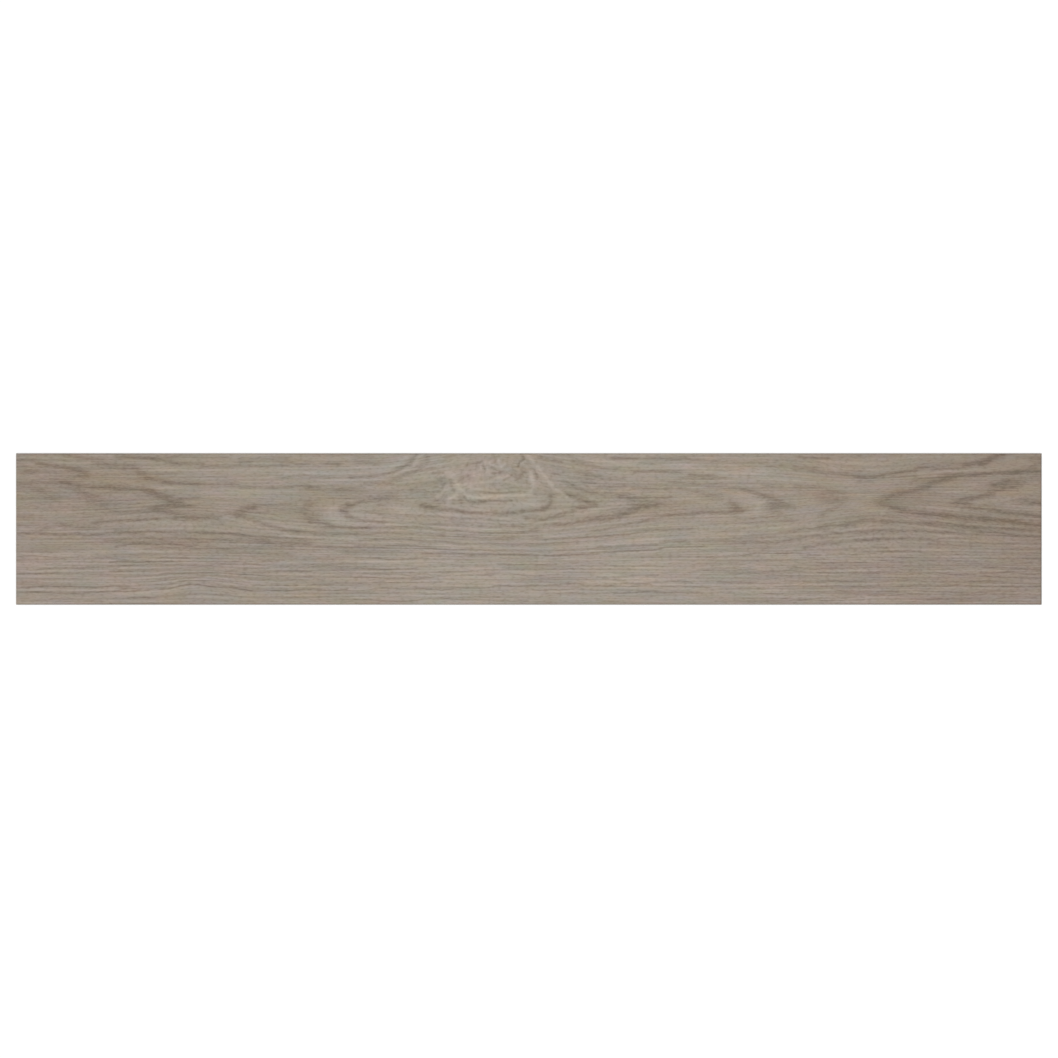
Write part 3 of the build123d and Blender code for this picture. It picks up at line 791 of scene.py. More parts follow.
def draw(marks, smear=SMEAR, boldness=1.0, strength=1.0):
    """Depth of tone and warmth that the marks leave on every corner of the mesh."""
    depth = np.zeros(all_x.size)
    warmth = np.zeros(all_x.size)
    for tone, half_width, warm, points in marks:
        path = smooth_path(on_plank(points))
        spread = half_width * boldness * px
        reach = PEN_REACH * spread
        low, high = path.min(0) - (reach * smear, reach), path.max(0) + (reach * smear, reach)
        inside = (all_x > low[0]) & (all_x < high[0]) & (all_y > low[1]) & (all_y < high[1])
        near = np.flatnonzero(inside)
        along = (all_x[near, None] - path[:, 0]) / smear
        across = drawn_y[near, None] - path[:, 1]
        off = (along**2 + across**2).min(1)
        mark = min(strength * tone, 1) * np.exp(-off / (2 * spread**2))
        depth[near] = 1 - (1 - depth[near]) * (1 - mark)
        warmth[near] += warm * mark
    return depth, warmth


tongue_depth, tongue_warmth = draw(left_tongues + middle_left + middle_right + right_tongue)
print(f"tongues: tone up to {tongue_depth.max():.2f}, warmth up to {tongue_warmth.max():.2f}")

# %% Lay the marks over one another
# Lines of the straight grain are finer than the pen that marked them and have paler wood
# beside them. The marks of the knot are a little finer and stronger than they were marked.
FINE, FINE_STRENGTH = 0.65, 1.35
FLANK, FLANK_STRENGTH = 1.5, 0.70
CURL, CURL_STRENGTH = 0.82, 1.08
PLAIN_TO_SEE = 0.2


def layered(*layers):
    """Layers of marks over one another."""
    left = np.prod([1 - depth for depth, warmth in layers], axis=0)
    return 1 - left, sum(warmth for depth, warmth in layers)


dark, dark_warmth = layered(
    (tongue_depth, tongue_warmth),
    draw(straight_grain, SMEAR, FINE, FINE_STRENGTH),
    draw(knot_dark, NO_SMEAR, CURL, CURL_STRENGTH),
    draw(dark_washes),
)
pale, pale_warmth = layered(
    draw(pale_marks),
    draw(straight_grain, SMEAR, FLANK, FLANK_STRENGTH),
    draw(knot_pale, NO_SMEAR, CURL, CURL_STRENGTH),
    draw(pale_washes),
)
print(f"dark marks cover {np.mean(dark > PLAIN_TO_SEE):.0%} of the corners, "
      f"pale marks {np.mean(pale > PLAIN_TO_SEE):.0%}")

# %% [markdown]
# ## The lie of the fibres
#
# Between the marks the wood is all fibres. They run along the plank, sag under the middle
# tongue, rise at the two saddles beside it, and lift once more in a low hump near the
# lower edge. A bent copy of Y does that: wherever a pattern uses it in place of Y, its
# lines bend with the wood. Slow changes of tone and tint along the plank are kept beside
# it, and so is a map of where the wood is stirred up.

# %% Bend the fibres
# Each bend: its middle in the picture, its reach along and across, and how far it sags
BENDS_PX = [
    (430, 530, 150, 24, 7),
    (540, 528, 90, 22, 8),
    (885, 516, 90, 24, -13),
    (190, 515, 70, 16, -8),
    (200, 583, 36, 14, -6),
    (490, 458, 75, 28, -15),
    (865, 474, 70, 16, 8),
]
sag = np.zeros(all_x.size)
for x, y, reach_along, reach_across, depth in BENDS_PX:
    sag += depth * np.exp(-(((px_x - x) / reach_along) ** 2) - ((px_y - y) / reach_across) ** 2)
bent_y = all_y + sag * px
print(f"fibres bend by up to {np.abs(sag).max() * px / MM:.1f} mm")

# %% Slow tone along the plank, and slow tint
# The plank is redder towards its ends, and bluer below its middle line and at its left end
TONE_AT_PX = [16, 140, 300, 450, 640, 800, 900, 1042]
TONE = [0.0, -0.02, -0.01, 0.05, 0.05, 0.01, -0.05, -0.11]
RED_ENDS, RED_LEAST_PX, RED_REACH_PX, RED_LEVEL = 0.11, 480, 500, 0.28
BLUE_BELOW, BLUE_BELOW_PX = 0.034, 25
BLUE_LEFT, BLUE_LEFT_PX = 0.04, 250
slow_tone = np.interp(px_x, TONE_AT_PX, TONE)
slow_red = RED_ENDS * (((px_x - RED_LEAST_PX) / RED_REACH_PX) ** 2 - RED_LEVEL)
slow_blue = BLUE_BELOW * np.tanh((px_y - MIDDLE_PX[1]) / BLUE_BELOW_PX)
slow_blue += BLUE_LEFT * np.clip(1 - px_x / BLUE_LEFT_PX, 0, 1)
print(f"slow tone from {slow_tone.min():.2f} to {slow_tone.max():.2f}")

# %% Where the knot and the tongues stir the fibres
KNOT_PX, KNOT_REACH_PX = (505, 472), (62, 27)
TONGUES_END_PX, TONGUES_FADE_PX, TONGUES_STIR = 546, 4, 0.3
from_knot = ((px_x - KNOT_PX[0]) / KNOT_REACH_PX[0]) ** 2
from_knot += ((px_y - KNOT_PX[1]) / KNOT_REACH_PX[1]) ** 2
in_tongues = 1 / (1 + np.exp((px_y - TONGUES_END_PX) / TONGUES_FADE_PX))
stirred = np.maximum(np.exp(-(from_knot**2)), TONGUES_STIR * in_tongues)
print(f"the knot stirs the fibres on {np.mean(stirred > TONGUES_STIR):.1%} of the corners")

# %% [markdown]
# ## The pressed plank
#
# The plate presses the dark lines about a tenth of a millimetre into the wear layer. The
# relief only goes down, so the plank stays as thick as the solid, and it fades out at the
# border so that the bevel starts on a straight edge. A modifier could displace the face
# with a picture of the lines, but the marks are on its corners already, so moving the
# corners is enough. From the border the mesh goes down the bevel, down the square side and
# across the back.

# %% Press the relief
PRESS_DEPTH = 0.10 * MM
FADE = 2.0 * MM
edge_distance = np.minimum(top_half[0] - np.abs(top_x), top_half[1] - np.abs(top_y))
fade = np.clip(edge_distance / FADE, 0, 1)
top_z = plank_high.z - PRESS_DEPTH * fade * dark[: top_x.size]
all_z = np.concatenate([
    top_z,
    np.full(border.size, bevel_foot_z),
    np.full(border.size, plank_low.z),
])
print(f"relief {np.ptp(top_z) / MM:.3f} mm deep")

# %% Faces of the top, the bevel and the side
top_quads = np.stack([index[:-1, :-1], index[:-1, 1:], index[1:, 1:], index[1:, :-1]], -1).reshape(-1, 4)
foot = top_x.size + np.arange(border.size)
back = foot + border.size


def band(upper, lower):
    """Quads between two loops that run round the plank."""
    return np.stack([lower, np.roll(lower, -1), np.roll(upper, -1), upper], -1)


bevel_quads, side_quads = band(border, foot), band(foot, back)
print(f"{len(top_quads)} faces on top, {len(bevel_quads)} on the bevel, {len(side_quads)} on the side")

# %% Faces of the back: strips across the plank, and a fan of triangles at each end
front_row = back[: CELLS_ALONG + 1]
rear_row = back[CELLS_ALONG + CELLS_ACROSS : 2 * CELLS_ALONG + CELLS_ACROSS + 1][::-1]
right_end = back[CELLS_ALONG : CELLS_ALONG + CELLS_ACROSS + 1]
left_end = np.append(back[2 * CELLS_ALONG + CELLS_ACROSS :], back[0])[::-1]
strips = np.stack([front_row[1:-2], rear_row[1:-2], rear_row[2:-1], front_row[2:-1]], -1)


def end_fan(end, front_tip, rear_tip, turn):
    """Triangles from the corners of one end to the two tips of the nearest strip."""
    half = CELLS_ACROSS // 2
    fan = [(end[j], end[j + 1], front_tip if j < half else rear_tip) for j in range(CELLS_ACROSS)]
    fan.append((end[half], rear_tip, front_tip))
    return [t[::turn] for t in fan]


fans = end_fan(left_end, front_row[1], rear_row[1], 1)
fans += end_fan(right_end, front_row[-2], rear_row[-2], -1)
print(f"{len(strips)} strips and {len(fans)} triangles on the back")

# %% Build the mesh
faces = [*top_quads.tolist(), *bevel_quads.tolist(), *side_quads.tolist(), *strips.tolist(), *fans]
mesh = bpy.data.meshes.new("embossed_plank")
mesh.from_pydata(np.stack([all_x, all_y, all_z], -1).tolist(), [], faces)
plank = bpy.data.objects.new("embossed_plank", mesh)
bpy.context.scene.collection.objects.link(plank)
triangles = sum(len(f) - 2 for f in faces)
print(f"mesh: {len(faces)} faces, {triangles} triangles")

# %% [markdown]
# ## What the mesh keeps for its finishes
#
# Each face has the number of its finish: the wear face, the bevel, the side or the back.
# Only the wear face is shaded smooth, so the bevel keeps crisp edges. The marks, the bent
# fibres and the slow changes go onto the corners of the mesh, and the share of bevel paint
# and painted shade that each stretch of the bevel takes goes onto its faces.

# %% Give every part of the mesh its finish, and only the top smooth shading
counts = [len(top_quads), len(bevel_quads), len(side_quads), len(strips) + len(fans)]
finish_of_face = np.repeat(range(len(counts)), counts)
mesh.polygons.foreach_set("material_index", finish_of_face)
mesh.polygons.foreach_set("use_smooth", finish_of_face == 0)
print("finishes:", dict(zip(["wear face", "bevel", "side", "back"], counts)))

# %% Keep the print on the corners, and the paint and painted shade on the bevel
# Front, right end, rear and left end, in the order of the walk round the border
# A share of 1 is the full darkening. The paint is real, but the shares that differ from edge to edge are
# painted shade.
EDGE_PAINT_AND_SHADE_SHARE = np.array([0.85, 1.00, 0.52, 0.0])
edge_of_quad = np.repeat(range(4), [CELLS_ALONG, CELLS_ACROSS, CELLS_ALONG, CELLS_ACROSS])
no_edge_on_top, no_edge_on_back = np.zeros(counts[0], int), np.zeros(counts[3], int)
edge_of_face = np.concatenate([no_edge_on_top, edge_of_quad, edge_of_quad, no_edge_on_back])


def store(name, kind, field, values, domain="POINT"):
    """Keeps a number, or three, on every corner or face of the mesh, for the materials to read."""
    layer = mesh.attributes.new(name, kind, domain)
    layer.data.foreach_set(field, np.asarray(values, np.float32).ravel())


store("grain_mm", "FLOAT_VECTOR", "vector", np.stack([all_x / MM, bent_y / MM, 0 * all_x], -1))
store("slow_changes", "FLOAT_VECTOR", "vector", np.stack([slow_tone, slow_red, slow_blue], -1))
store("ring_marks", "FLOAT_VECTOR", "vector", np.stack([dark, pale, dark_warmth + pale_warmth], -1))
store("stirred", "FLOAT", "value", stirred)
store("bevel_paint_and_shade", "FLOAT", "value", EDGE_PAINT_AND_SHADE_SHARE[edge_of_face], "FACE")
mesh.validate()
print("kept on the mesh:", [name for name in mesh.attributes.keys() if not name.startswith(".")])

# %% [markdown]
# ## A flat sheet
#
# The print is a flat sheet before it is a plank, and a copy of the plank in other programs
# needs it as a sheet again. An automatic unwrap would not know which face matters most, so
# the places are worked out here. The wear face gets most of the sheet and is stretched
# across the grain, because it changes faster that way than along the grain. Each bevel and
# each side gets a narrow row, and the back the rest.

# %% Lay the faces out on the sheet
# Shares of the height of the sheet: where a part starts, the step from row to row where it
# has four rows, and how high it or its row is
WEAR_FACE_SHARE, BACK_SHARE = (0.02, 0.70), (0.88, 0.11)
BEVEL_ROW, BEVEL_STEP, BEVEL_HIGH = 0.745, 0.012, 0.008
SIDE_ROW, SIDE_STEP, SIDE_HIGH = 0.80, 0.016, 0.012
SHEET_MARGIN = 0.002
corner = np.empty(len(mesh.loops), np.int32)
mesh.loops.foreach_get("vertex_index", corner)
loops_in_face = np.empty(len(mesh.polygons), np.int32)
mesh.polygons.foreach_get("loop_total", loops_in_face)
finish, edge = np.repeat(finish_of_face, loops_in_face), np.repeat(edge_of_face, loops_in_face)
level = (corner >= foot[0]).astype(int) + (corner >= back[0])
along, across = all_x[corner] / length + 0.5, all_y[corner] / width + 0.5
sheet_u = SHEET_MARGIN + (1 - 2 * SHEET_MARGIN) * np.where(edge % 2 == 1, across, along)
sheet_v = np.choose(finish, [
    WEAR_FACE_SHARE[0] + WEAR_FACE_SHARE[1] * across,
    BEVEL_ROW + BEVEL_STEP * edge - BEVEL_HIGH * level,
    SIDE_ROW + SIDE_STEP * edge - SIDE_HIGH * (level - 1),
    BACK_SHARE[0] + BACK_SHARE[1] * across,
])
sheet = mesh.uv_layers.new(name="OFBake")
sheet.data.foreach_set("uv", np.stack([sheet_u, sheet_v], -1).astype(np.float32).ravel())
print(f"sheet: u {sheet_u.min():.3f} to {sheet_u.max():.3f}, v {sheet_v.min():.3f} to {sheet_v.max():.3f}")

# %% [markdown]
# ## Tools for the finishes
#
# Colours are written as they look on a screen, as hex values, and one function turns them
# into the linear light that Blender works in. A second function adds a node, sets it up
# and links it, so that a material reads from top to bottom like a recipe.

# %% Colours and nodes


def colour(hex_value):
    """An sRGB hex value as linear red, green, blue and alpha."""
    parts = [int(hex_value[i : i + 2], 16) / 255 for i in (1, 3, 5)]
    return [c / 12.92 if c <= 0.04045 else ((c + 0.055) / 1.055) ** 2.4 for c in parts] + [1.0]


def add(tree, kind, sockets=None, stops=(), **settings):
    """Adds a node with its settings. Each socket is given a value, or an output to link to."""
    node = tree.nodes.new(kind)
    for name, value in settings.items():
        setattr(node, name, value)
    for place, value in (sockets or {}).items():
        if isinstance(value, bpy.types.NodeSocket):
            tree.links.new(value, node.inputs[place])
        else:
            node.inputs[place].default_value = value
    # A new ramp has two stops of its own, which are set first
    for i, (place, hex_value) in enumerate(stops):
        elements = node.color_ramp.elements
        stop = elements[i] if i < 2 else elements.new(place)
        stop.position = place
        stop.color = colour(hex_value)
    return node


print("mid grey-brown of the print in linear light:", [round(c, 3) for c in colour("#9A8E82")[:3]])

# %% [markdown]
# ## Streaks of the printed oak
#
# A printed film is ink on PVC: flat colour with no depth of its own, as fine as the fibres
# of the wood that was scanned for it. Between the drawn marks its grain is made of noise,
# which stays sharp from close by, where a picture would blur. Each noise is stretched by
# two real sizes: how long and how thick its streaks are. There are broad lines, long
# threads, fibres, short pores, hair-thin ticks, and patches of tone and tint. Where the
# wood is stirred, the threads fade and short swirls take their place.

# %% Sizes of the streaks, in millimetres along and across the grain
# Real fibres and pores are a few tenths of a millimetre thick. They are drawn coarser, so
# that they show in a picture whose pixels are more than a millimetre wide.
LINE_MM = (380, 14)
THREAD_MM = (120, 2.1)
FIBRE_MM = (24, 2.1)
PORE_MM = (5.5, 1.6)
PATCH_MM = (170, 30)
TINT_MM = (60, 20)
SWIRL_MM = (5.5, 4.5)
TICK_MM = (7, 0.4)
print("streaks in mm:", dict(line=LINE_MM, thread=THREAD_MM, fibre=FIBRE_MM, pore=PORE_MM))

# %% Make the streaks
# Each streak: its size, how many finer layers it has, and how strong those are
STREAKS = {
    "line": (LINE_MM, 3, 1.0),
    "thread": (THREAD_MM, 0, 0.5),
    "fibre": (FIBRE_MM, 1, 1.0),
    "pore": (PORE_MM, 1, 0.5),
    "patch": (PATCH_MM, 1, 0.5),
    "red": (TINT_MM, 3, 0.8),
    "blue": (TINT_MM, 3, 0.8),
    "swirl": (SWIRL_MM, 1, 0.5),
    "tick": (TICK_MM, 1, 0.5),
}
# How much of its contrast a streak has in straight wood, and in stirred wood
CONTRAST = {"thread": (1.0, 0.3), "fibre": (1.0, 0.75), "swirl": (0.0, 1.0)}
# Every noise starts from a place of its own
START_X, START_Y = 7.3, 3.1


def streaks(tree):
    """Every noise of the print, by its name."""
    grain = add(tree, "ShaderNodeAttribute", attribute_name="grain_mm").outputs["Vector"]
    stir = add(tree, "ShaderNodeAttribute", attribute_name="stirred").outputs["Fac"]
    noise = {}
    for seed, (name, (size, detail, rough)) in enumerate(STREAKS.items()):
        place = add(tree, "ShaderNodeVectorMath", {
            0: grain,
            1: (1 / size[0], 1 / size[1], 0),
            2: (START_X * seed, START_Y * seed, 0),
        }, operation="MULTIPLY_ADD").outputs[0]
        noise[name] = add(tree, "ShaderNodeTexNoise", {
            "Vector": place, "Scale": 1.0, "Detail": detail, "Roughness": rough,
        }, noise_dimensions="2D").outputs[0]
    for name, (straight, curled) in CONTRAST.items():
        share = add(tree, "ShaderNodeMapRange", {
            "Value": stir, "To Min": straight, "To Max": curled,
        }).outputs[0]
        swing = add(tree, "ShaderNodeMath", {0: noise[name], 1: 0.5}, operation="SUBTRACT").outputs[0]
        noise[name] = add(tree, "ShaderNodeMath", {0: swing, 1: share, 2: 0.5},
                          operation="MULTIPLY_ADD").outputs[0]
    return noise


print(len(STREAKS), "kinds of streak,", len(CONTRAST), "of them changed beside the knot")

# %% [markdown]
# ## Tone of the print
#
# The tone is a sum. It starts from the slow tone, each streak adds its share, the pores and
# the dark marks take theirs away, and the pale marks add the white of the liming. Pores
# crowd into the dark marks, and fibres break the marks up, as they do in real rings.

# %% Add up the tone, in shares of the ramp of colours
BASE_TONE = 0.56
STREAK_TONE = {
    "line": 0.04,
    "thread": 0.44,
    "fibre": 0.21,
    "patch": 0.05,
    "swirl": 0.285,
    "tick": 0.12,
}
PORE_TONE = 0.115
DARK_TONE = 0.345
PALE_TONE = 0.235
PORE_STARTS, PORE_FULL, PORE_CROWDING = 0.50, 0.28, 0.15
FIBRE_LOW, FIBRE_HIGH, BREAK_UP = 0.3, 0.7, 0.25


def pores_among(tree, noise, dark):
    """1 in the pores and 0 between them."""
    crowd = add(tree, "ShaderNodeMath", {0: dark, 1: -PORE_CROWDING, 2: noise["pore"]},
                operation="MULTIPLY_ADD").outputs[0]
    return add(tree, "ShaderNodeMapRange", {
        "Value": crowd, "From Min": PORE_STARTS, "From Max": PORE_FULL,
    }, interpolation_type="SMOOTHSTEP").outputs[0]


def tone_of_print(tree, noise, pores, dark, pale, slow_tone):
    """The tone of the print, from 0 for the darkest ink to 1 for the palest."""
    broken = add(tree, "ShaderNodeMapRange", {
        "Value": noise["fibre"], "From Min": FIBRE_LOW, "From Max": FIBRE_HIGH,
        "To Min": 1 + BREAK_UP, "To Max": 1 - BREAK_UP,
    }).outputs[0]
    broken_dark = add(tree, "ShaderNodeMath", {0: dark, 1: broken}, operation="MULTIPLY").outputs[0]
    tone = slow_tone
    for layer, strength in [
        *((noise[name], share) for name, share in STREAK_TONE.items()),
        (pores, -PORE_TONE),
        (broken_dark, -DARK_TONE),
        (pale, PALE_TONE),
    ]:
        tone = add(tree, "ShaderNodeMath", {0: layer, 1: strength, 2: tone},
                   operation="MULTIPLY_ADD").outputs[0]
    middle = BASE_TONE - sum(STREAK_TONE.values()) / 2
    return add(tree, "ShaderNodeMath", {0: tone, 1: middle}, operation="ADD").outputs[0]


print(f"plain wood has a tone of {BASE_TONE}, and a full dark mark takes {DARK_TONE} away")

# %% [markdown]
# ## Colour of the print
#
# The tone picks a colour from a ramp of grey browns. The ink also drifts in tint, as wood
# does: a patchy noise, the slow change along the plank and the warmth of the marks make it
# redder or greyer, and bluer or browner.

# %% Ink and tint
# The two ends of the ramp come first
INKS = [
    (0.00, "#746758"), (1.00, "#C3B7A9"), (0.25, "#8A7C6D"), (0.50, "#9D9081"), (0.75, "#B1A496"),
]
RED_SWING, BLUE_SWING = 0.34, 0.43
WARMTH = 0.115


def printed_oak(tree):
    """The colour of the print, its streaks and its pores."""
    noise = streaks(tree)
    marks = add(tree, "ShaderNodeAttribute", attribute_name="ring_marks").outputs["Vector"]
    slow = add(tree, "ShaderNodeAttribute", attribute_name="slow_changes").outputs["Vector"]
    dark, pale, warm = add(tree, "ShaderNodeSeparateXYZ", {0: marks}).outputs
    slow_tone, slow_red, slow_blue = add(tree, "ShaderNodeSeparateXYZ", {0: slow}).outputs
    pores = pores_among(tree, noise, dark)
    tone = tone_of_print(tree, noise, pores, dark, pale, slow_tone)
    ink = add(tree, "ShaderNodeValToRGB", {0: tone}, stops=INKS).outputs[0]

    shares = []
    for name, warming, swing, slowly in (
        ("red", WARMTH, RED_SWING, slow_red),
        ("blue", -WARMTH, BLUE_SWING, slow_blue),
    ):
        drift = add(tree, "ShaderNodeMath", {0: noise[name], 1: slowly}, operation="ADD").outputs[0]
        drift = add(tree, "ShaderNodeMath", {0: warm, 1: warming, 2: drift},
                    operation="MULTIPLY_ADD").outputs[0]
        shares.append(add(tree, "ShaderNodeMapRange", {
            "Value": drift, "To Min": 1 - swing / 2, "To Max": 1 + swing / 2,
        }, clamp=False).outputs[0])
    tint = add(tree, "ShaderNodeCombineColor", {0: shares[0], 1: 1.0, 2: shares[1]}).outputs[0]
    tinted = add(tree, "ShaderNodeMix", {0: 1.0, 6: ink, 7: tint}, data_type="RGBA",
                 blend_type="MULTIPLY").outputs[2]
    return tinted, noise, pores


print("inks from dark to pale:", [hex_value for place, hex_value in sorted(INKS)])

# %% [markdown]
# ## The wear face
#
# Over the film lies half a millimetre of clear PVC with a matt urethane coat, cured under
# ultraviolet light. It gives a soft, even sheen with no hard reflections. PVC and urethane
# have an IOR near 1.5. The pressed fibres, ticks and pores are bump, because they are too
# small for the grid, and the pores are a little rougher than the coat around them.

# %% Printed vinyl under a matt urethane coat
VINYL_IOR = 1.5
COAT_ROUGH, PORE_ROUGH = 0.46, 0.62
TICK_DEPTH = 0.06 * MM
PORE_DROP = 0.6


def material(name):
    """A new material, with its node tree and its shader."""
    made = bpy.data.materials.new(name)
    made.use_nodes = True
    return made, made.node_tree, made.node_tree.nodes["Principled BSDF"]


wear_face, tree, shader = material("printed_vinyl_matt_urethane_coat")
ink, noise, pores = printed_oak(tree)
tree.links.new(ink, shader.inputs["Base Color"])
rough = add(tree, "ShaderNodeMapRange", {"Value": pores, "To Min": COAT_ROUGH, "To Max": PORE_ROUGH})
tree.links.new(rough.outputs[0], shader.inputs["Roughness"])
shader.inputs["IOR"].default_value = VINYL_IOR
ridges = add(tree, "ShaderNodeMath", {0: noise["fibre"], 1: noise["tick"]}, operation="ADD")
height = add(tree, "ShaderNodeMath", {0: pores, 1: -PORE_DROP, 2: ridges.outputs[0]},
             operation="MULTIPLY_ADD")
ticks = add(tree, "ShaderNodeBump", {
    "Height": height.outputs[0], "Strength": 0.5, "Distance": TICK_DEPTH,
})
tree.links.new(ticks.outputs[0], shader.inputs["Normal"])
print("wear face:", len(tree.nodes), "nodes")

# %% [markdown]
# ## The bevel
#
# The bevel is cut into the wear layer after pressing, so the print still shows under it. A
# roller paints it a shade darker, so that the joints between planks show as fine lines. The
# darkening is part paint and part painted shade: it is stronger on one edge than on another,
# and the left end has none. A mask on the wear face could do this, but the bevel has no
# pressed ticks, so it gets a finish of its own.

# %% Painted bevel, with painted shade that differs from edge to edge
BEVEL_PAINT_AND_SHADE = colour("#B2ABA4")
bevel, tree, shader = material("painted_and_shaded_vinyl_bevel")
ink = printed_oak(tree)[0]
paint_and_shade = add(tree, "ShaderNodeAttribute", attribute_name="bevel_paint_and_shade").outputs["Fac"]
# The print on the bevel is darkened by paint and by painted shade, more on some edges than on others
painted_and_shaded = add(tree, "ShaderNodeMix", {0: paint_and_shade, 6: ink, 7: BEVEL_PAINT_AND_SHADE},
              data_type="RGBA", blend_type="MULTIPLY")
tree.links.new(painted_and_shaded.outputs[2], shader.inputs["Base Color"])
shader.inputs["Roughness"].default_value = 0.5
shader.inputs["IOR"].default_value = VINYL_IOR
print("bevel:", len(tree.nodes), "nodes")

# %% [markdown]
# ## The cut side
#
# The saw leaves the layers bare: grey backing, chalk-filled PVC with a thin glass veil in
# the middle, the printed film as a fine brown line, and the clear layer on top. They lie
# flush, so there is no shape to model, and a ramp up the height of the plank draws them. A
# speckle stands for the chalk. Real grains of chalk are far finer, and are drawn at half a
# millimetre so that they show from close by.

# %% Chalk-filled PVC, saw cut
SPECKLE_MM = 0.5
SAW_DEPTH = 0.05 * MM
side, tree, shader = material("chalk_filled_vinyl_saw_cut")
place = add(tree, "ShaderNodeTexCoord").outputs["Object"]
up = add(tree, "ShaderNodeSeparateXYZ", {0: place}).outputs["Z"]
share = add(tree, "ShaderNodeMapRange", {"Value": up, "From Min": plank_low.z, "From Max": plank_high.z})
layers = add(tree, "ShaderNodeValToRGB", {0: share.outputs[0]}, stops=[
    (0.00, "#5F5D5A"), (0.83, "#8E8479"), (0.14, "#8D8982"), (0.47, "#A5A29B"),
    (0.50, "#8D8982"), (0.79, "#6A5D50"),
])
layers.color_ramp.interpolation = "CONSTANT"
speckle = add(tree, "ShaderNodeTexNoise", {"Vector": place, "Scale": 1 / (SPECKLE_MM * MM), "Detail": 2.0})
chalk = add(tree, "ShaderNodeValToRGB", {0: speckle.outputs[0]}, stops=[(0.3, "#DCDAD6"), (0.7, "#FFFFFF")])
cut = add(tree, "ShaderNodeMix", {0: 1.0, 6: layers.outputs[0], 7: chalk.outputs[0]},
          data_type="RGBA", blend_type="MULTIPLY")
tree.links.new(cut.outputs[2], shader.inputs["Base Color"])
shader.inputs["Roughness"].default_value = 0.7
shader.inputs["IOR"].default_value = VINYL_IOR
sawn = add(tree, "ShaderNodeBump", {"Height": speckle.outputs[0], "Strength": 0.4, "Distance": SAW_DEPTH})
tree.links.new(sawn.outputs[0], shader.inputs["Normal"])
print("cut side:", len(tree.nodes), "nodes")

# %% [markdown]
# ## The back
#
# The back is plain grey vinyl. A roller presses a fine pebble into it so that the glue
# holds, which gives it a dull, even look. Pebbles in the mesh would take too many faces,
# so a pattern of cells stands for them as bump. The grooves between the pebbles are painted
# a little darker than their tops, as painted shade, and faint clouds of tone are left from the rolling.

# %% Pebbled grey vinyl
PEBBLE_MM = 2.5
CLOUD_MM = 60
PEBBLE_DEPTH = 0.3 * MM
GROOVE_SHADE = 0.5
back_face, tree, shader = material("pebbled_grey_vinyl")
place = add(tree, "ShaderNodeTexCoord").outputs["Object"]
cloud = add(tree, "ShaderNodeTexNoise", {"Vector": place, "Scale": 1 / (CLOUD_MM * MM), "Detail": 3.0})
pebble = add(tree, "ShaderNodeTexVoronoi", {"Vector": place, "Scale": 1 / (PEBBLE_MM * MM)},
             feature="SMOOTH_F1")
# The grooves between the pebbles are darkened in the colour: painted shade
clouds_and_groove_shade = add(tree, "ShaderNodeMath", {0: pebble.outputs[0], 1: -GROOVE_SHADE, 2: cloud.outputs[0]},
           operation="MULTIPLY_ADD")
grey = add(tree, "ShaderNodeValToRGB", {0: clouds_and_groove_shade.outputs[0]}, stops=[(0.05, "#524F4C"), (0.55, "#706D69")])
tree.links.new(grey.outputs[0], shader.inputs["Base Color"])
stipple = add(tree, "ShaderNodeBump", {
    "Height": pebble.outputs[0], "Strength": 0.8, "Distance": -PEBBLE_DEPTH,
})
tree.links.new(stipple.outputs[0], shader.inputs["Normal"])
shader.inputs["Roughness"].default_value = 0.75
shader.inputs["IOR"].default_value = VINYL_IOR
print("back:", len(tree.nodes), "nodes")

# %% [markdown]
# ## Dress the plank
#
# The finishes go onto the mesh in the order in which its faces were numbered. The mesh is
# then tied to the part's one body and stands in for the solid.

# %% Put the finishes on, and let the mesh stand for the solid
for made in (wear_face, bevel, side, back_face):
    mesh.materials.append(made)
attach(plank, "root")
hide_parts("plank")
print("finishes on the plank:", [m.name for m in mesh.materials])

# %% [markdown]
# ## Floor and light
#
# The floor is plain white. A lit floor is never quite as bright as white paper, so what
# the camera sees of it is lifted a little, and it still takes the shadow of the plank. The
# light is a bright overcast sky with one large soft lamp, almost overhead and a little to
# the front, at a level that shows a colour about as it is written.

# %% A floor under the plank
FLOOR_HALF = 10.0
FLOOR_GAP = 0.02 * MM
floor_mesh = bpy.data.meshes.new("floor")
floor_corners = [(x * FLOOR_HALF, y * FLOOR_HALF, plank_low.z - FLOOR_GAP)
                 for x, y in [(-1, -1), (1, -1), (1, 1), (-1, 1)]]
floor_mesh.from_pydata(floor_corners, [], [(0, 1, 2, 3)])
floor = bpy.data.objects.new("floor", floor_mesh)
bpy.context.scene.collection.objects.link(floor)
print("floor:", 2 * FLOOR_HALF, "m square")

# %% White floor paint
FLOOR_LIFT = 0.5


def seen_directly(tree):
    """1 for what the camera sees by itself, in a mirror or through glass."""
    ray = add(tree, "ShaderNodeLightPath")
    seen = ray.outputs["Is Camera Ray"]
    for kind in ("Is Glossy Ray", "Is Transmission Ray"):
        seen = add(tree, "ShaderNodeMath", {0: seen, 1: ray.outputs[kind]}, operation="MAXIMUM").outputs[0]
    return seen


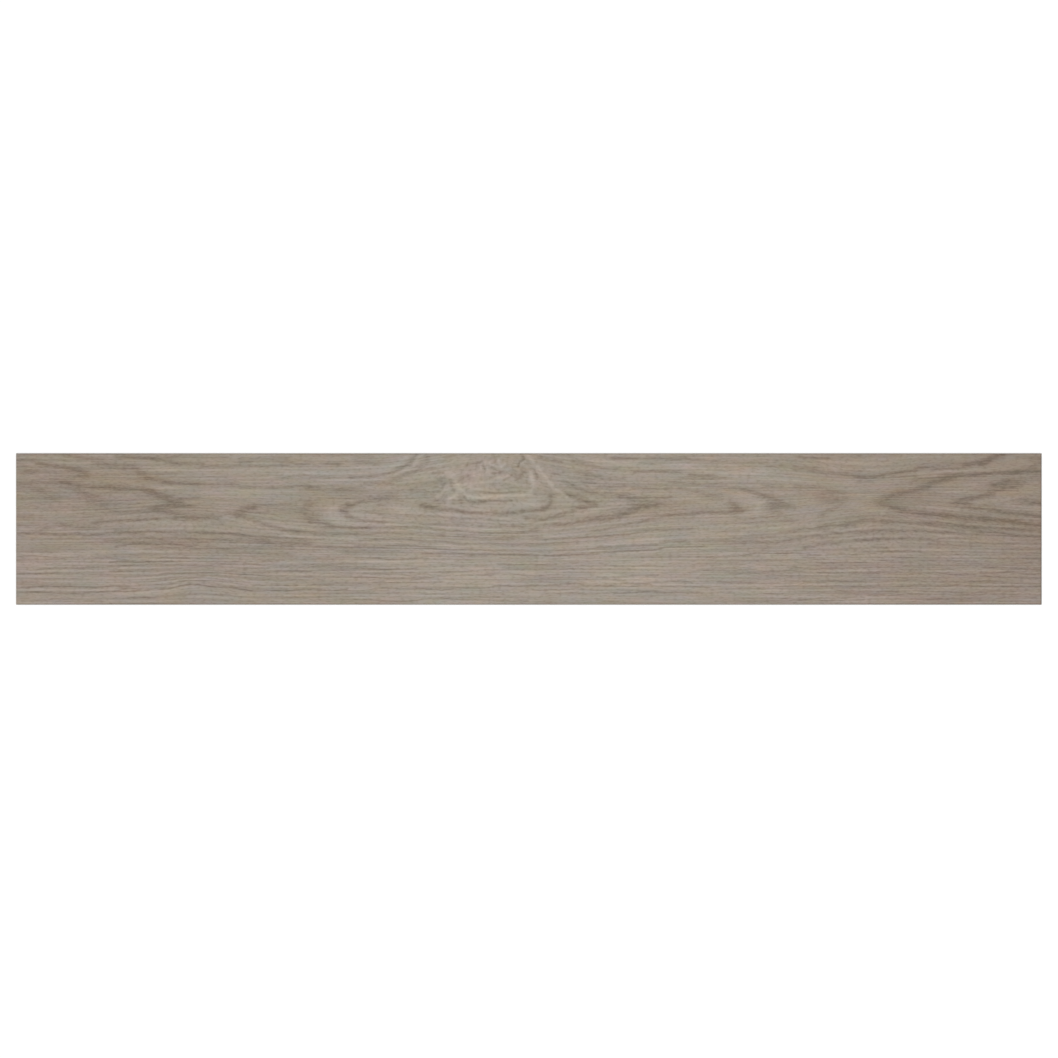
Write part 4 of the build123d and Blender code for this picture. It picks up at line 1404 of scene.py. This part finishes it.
floor_paint, tree, shader = material("white_floor_paint")
shader.inputs["Base Color"].default_value = colour("#DADADA")
shader.inputs["Roughness"].default_value = 0.9
lift = add(tree, "ShaderNodeMath", {0: seen_directly(tree), 1: FLOOR_LIFT}, operation="MULTIPLY")
shader.inputs["Emission Color"].default_value = colour("#FFFFFF")
tree.links.new(lift.outputs[0], shader.inputs["Emission Strength"])
floor_mesh.materials.append(floor_paint)
print("floor paint lifted by", FLOOR_LIFT)

# %% Sky and lamp
SKY_LIGHT, SKY_SEEN = 0.62, 1.0
LAMP_WATTS = 26
LAMP_SIZE = 2.4
LAMP_PLACE = (0.0, -0.8, 3.2)
world = bpy.data.worlds.new("overcast_sky")
bpy.context.scene.world = world
world.use_nodes = True
tree = world.node_tree
sky = tree.nodes["Background"]
strength = add(tree, "ShaderNodeMapRange", {
    "Value": seen_directly(tree), "To Min": SKY_LIGHT, "To Max": SKY_SEEN,
})
sky.inputs["Color"].default_value = colour("#FFFFFF")
tree.links.new(strength.outputs[0], sky.inputs["Strength"])

lamp_data = bpy.data.lights.new("soft_lamp", "AREA")
lamp_data.energy = LAMP_WATTS
lamp_data.size = LAMP_SIZE
lamp = bpy.data.objects.new("soft_lamp", lamp_data)
lamp.location = LAMP_PLACE
lamp.rotation_euler = (math.atan2(-LAMP_PLACE[1], LAMP_PLACE[2]), 0, 0)
lamp.visible_camera = False
bpy.context.scene.collection.objects.link(lamp)
bpy.context.scene.view_settings.view_transform = "Standard"
print("sky", SKY_LIGHT, "lamp", LAMP_WATTS, "W")

# %% [markdown]
# ## Camera
#
# The picture looks straight down, with the plank square in the frame, so a long lens high
# above gives it. The width of the frame is known from the size of a pixel, and the lens
# and the sensor then set the height. The plank lies a fraction of a pixel off the middle of
# the picture, and the camera stands off by as much.

# %% Look straight down
LENS, SENSOR = 120.0, 36.0
frame_width = PICTURE_PX * px
camera_data = bpy.data.cameras.new("camera")
camera_data.lens = LENS
camera_data.sensor_width = SENSOR
camera = bpy.data.objects.new("camera", camera_data)
off_middle = (PICTURE_PX / 2 - MIDDLE_PX) * (px, -px)
camera.location = (*off_middle, plank_high.z + frame_width * LENS / SENSOR)
bpy.context.scene.collection.objects.link(camera)
bpy.context.scene.camera = camera
print(f"camera {camera.location.z:.3f} m up, frame {frame_width:.4f} m wide")
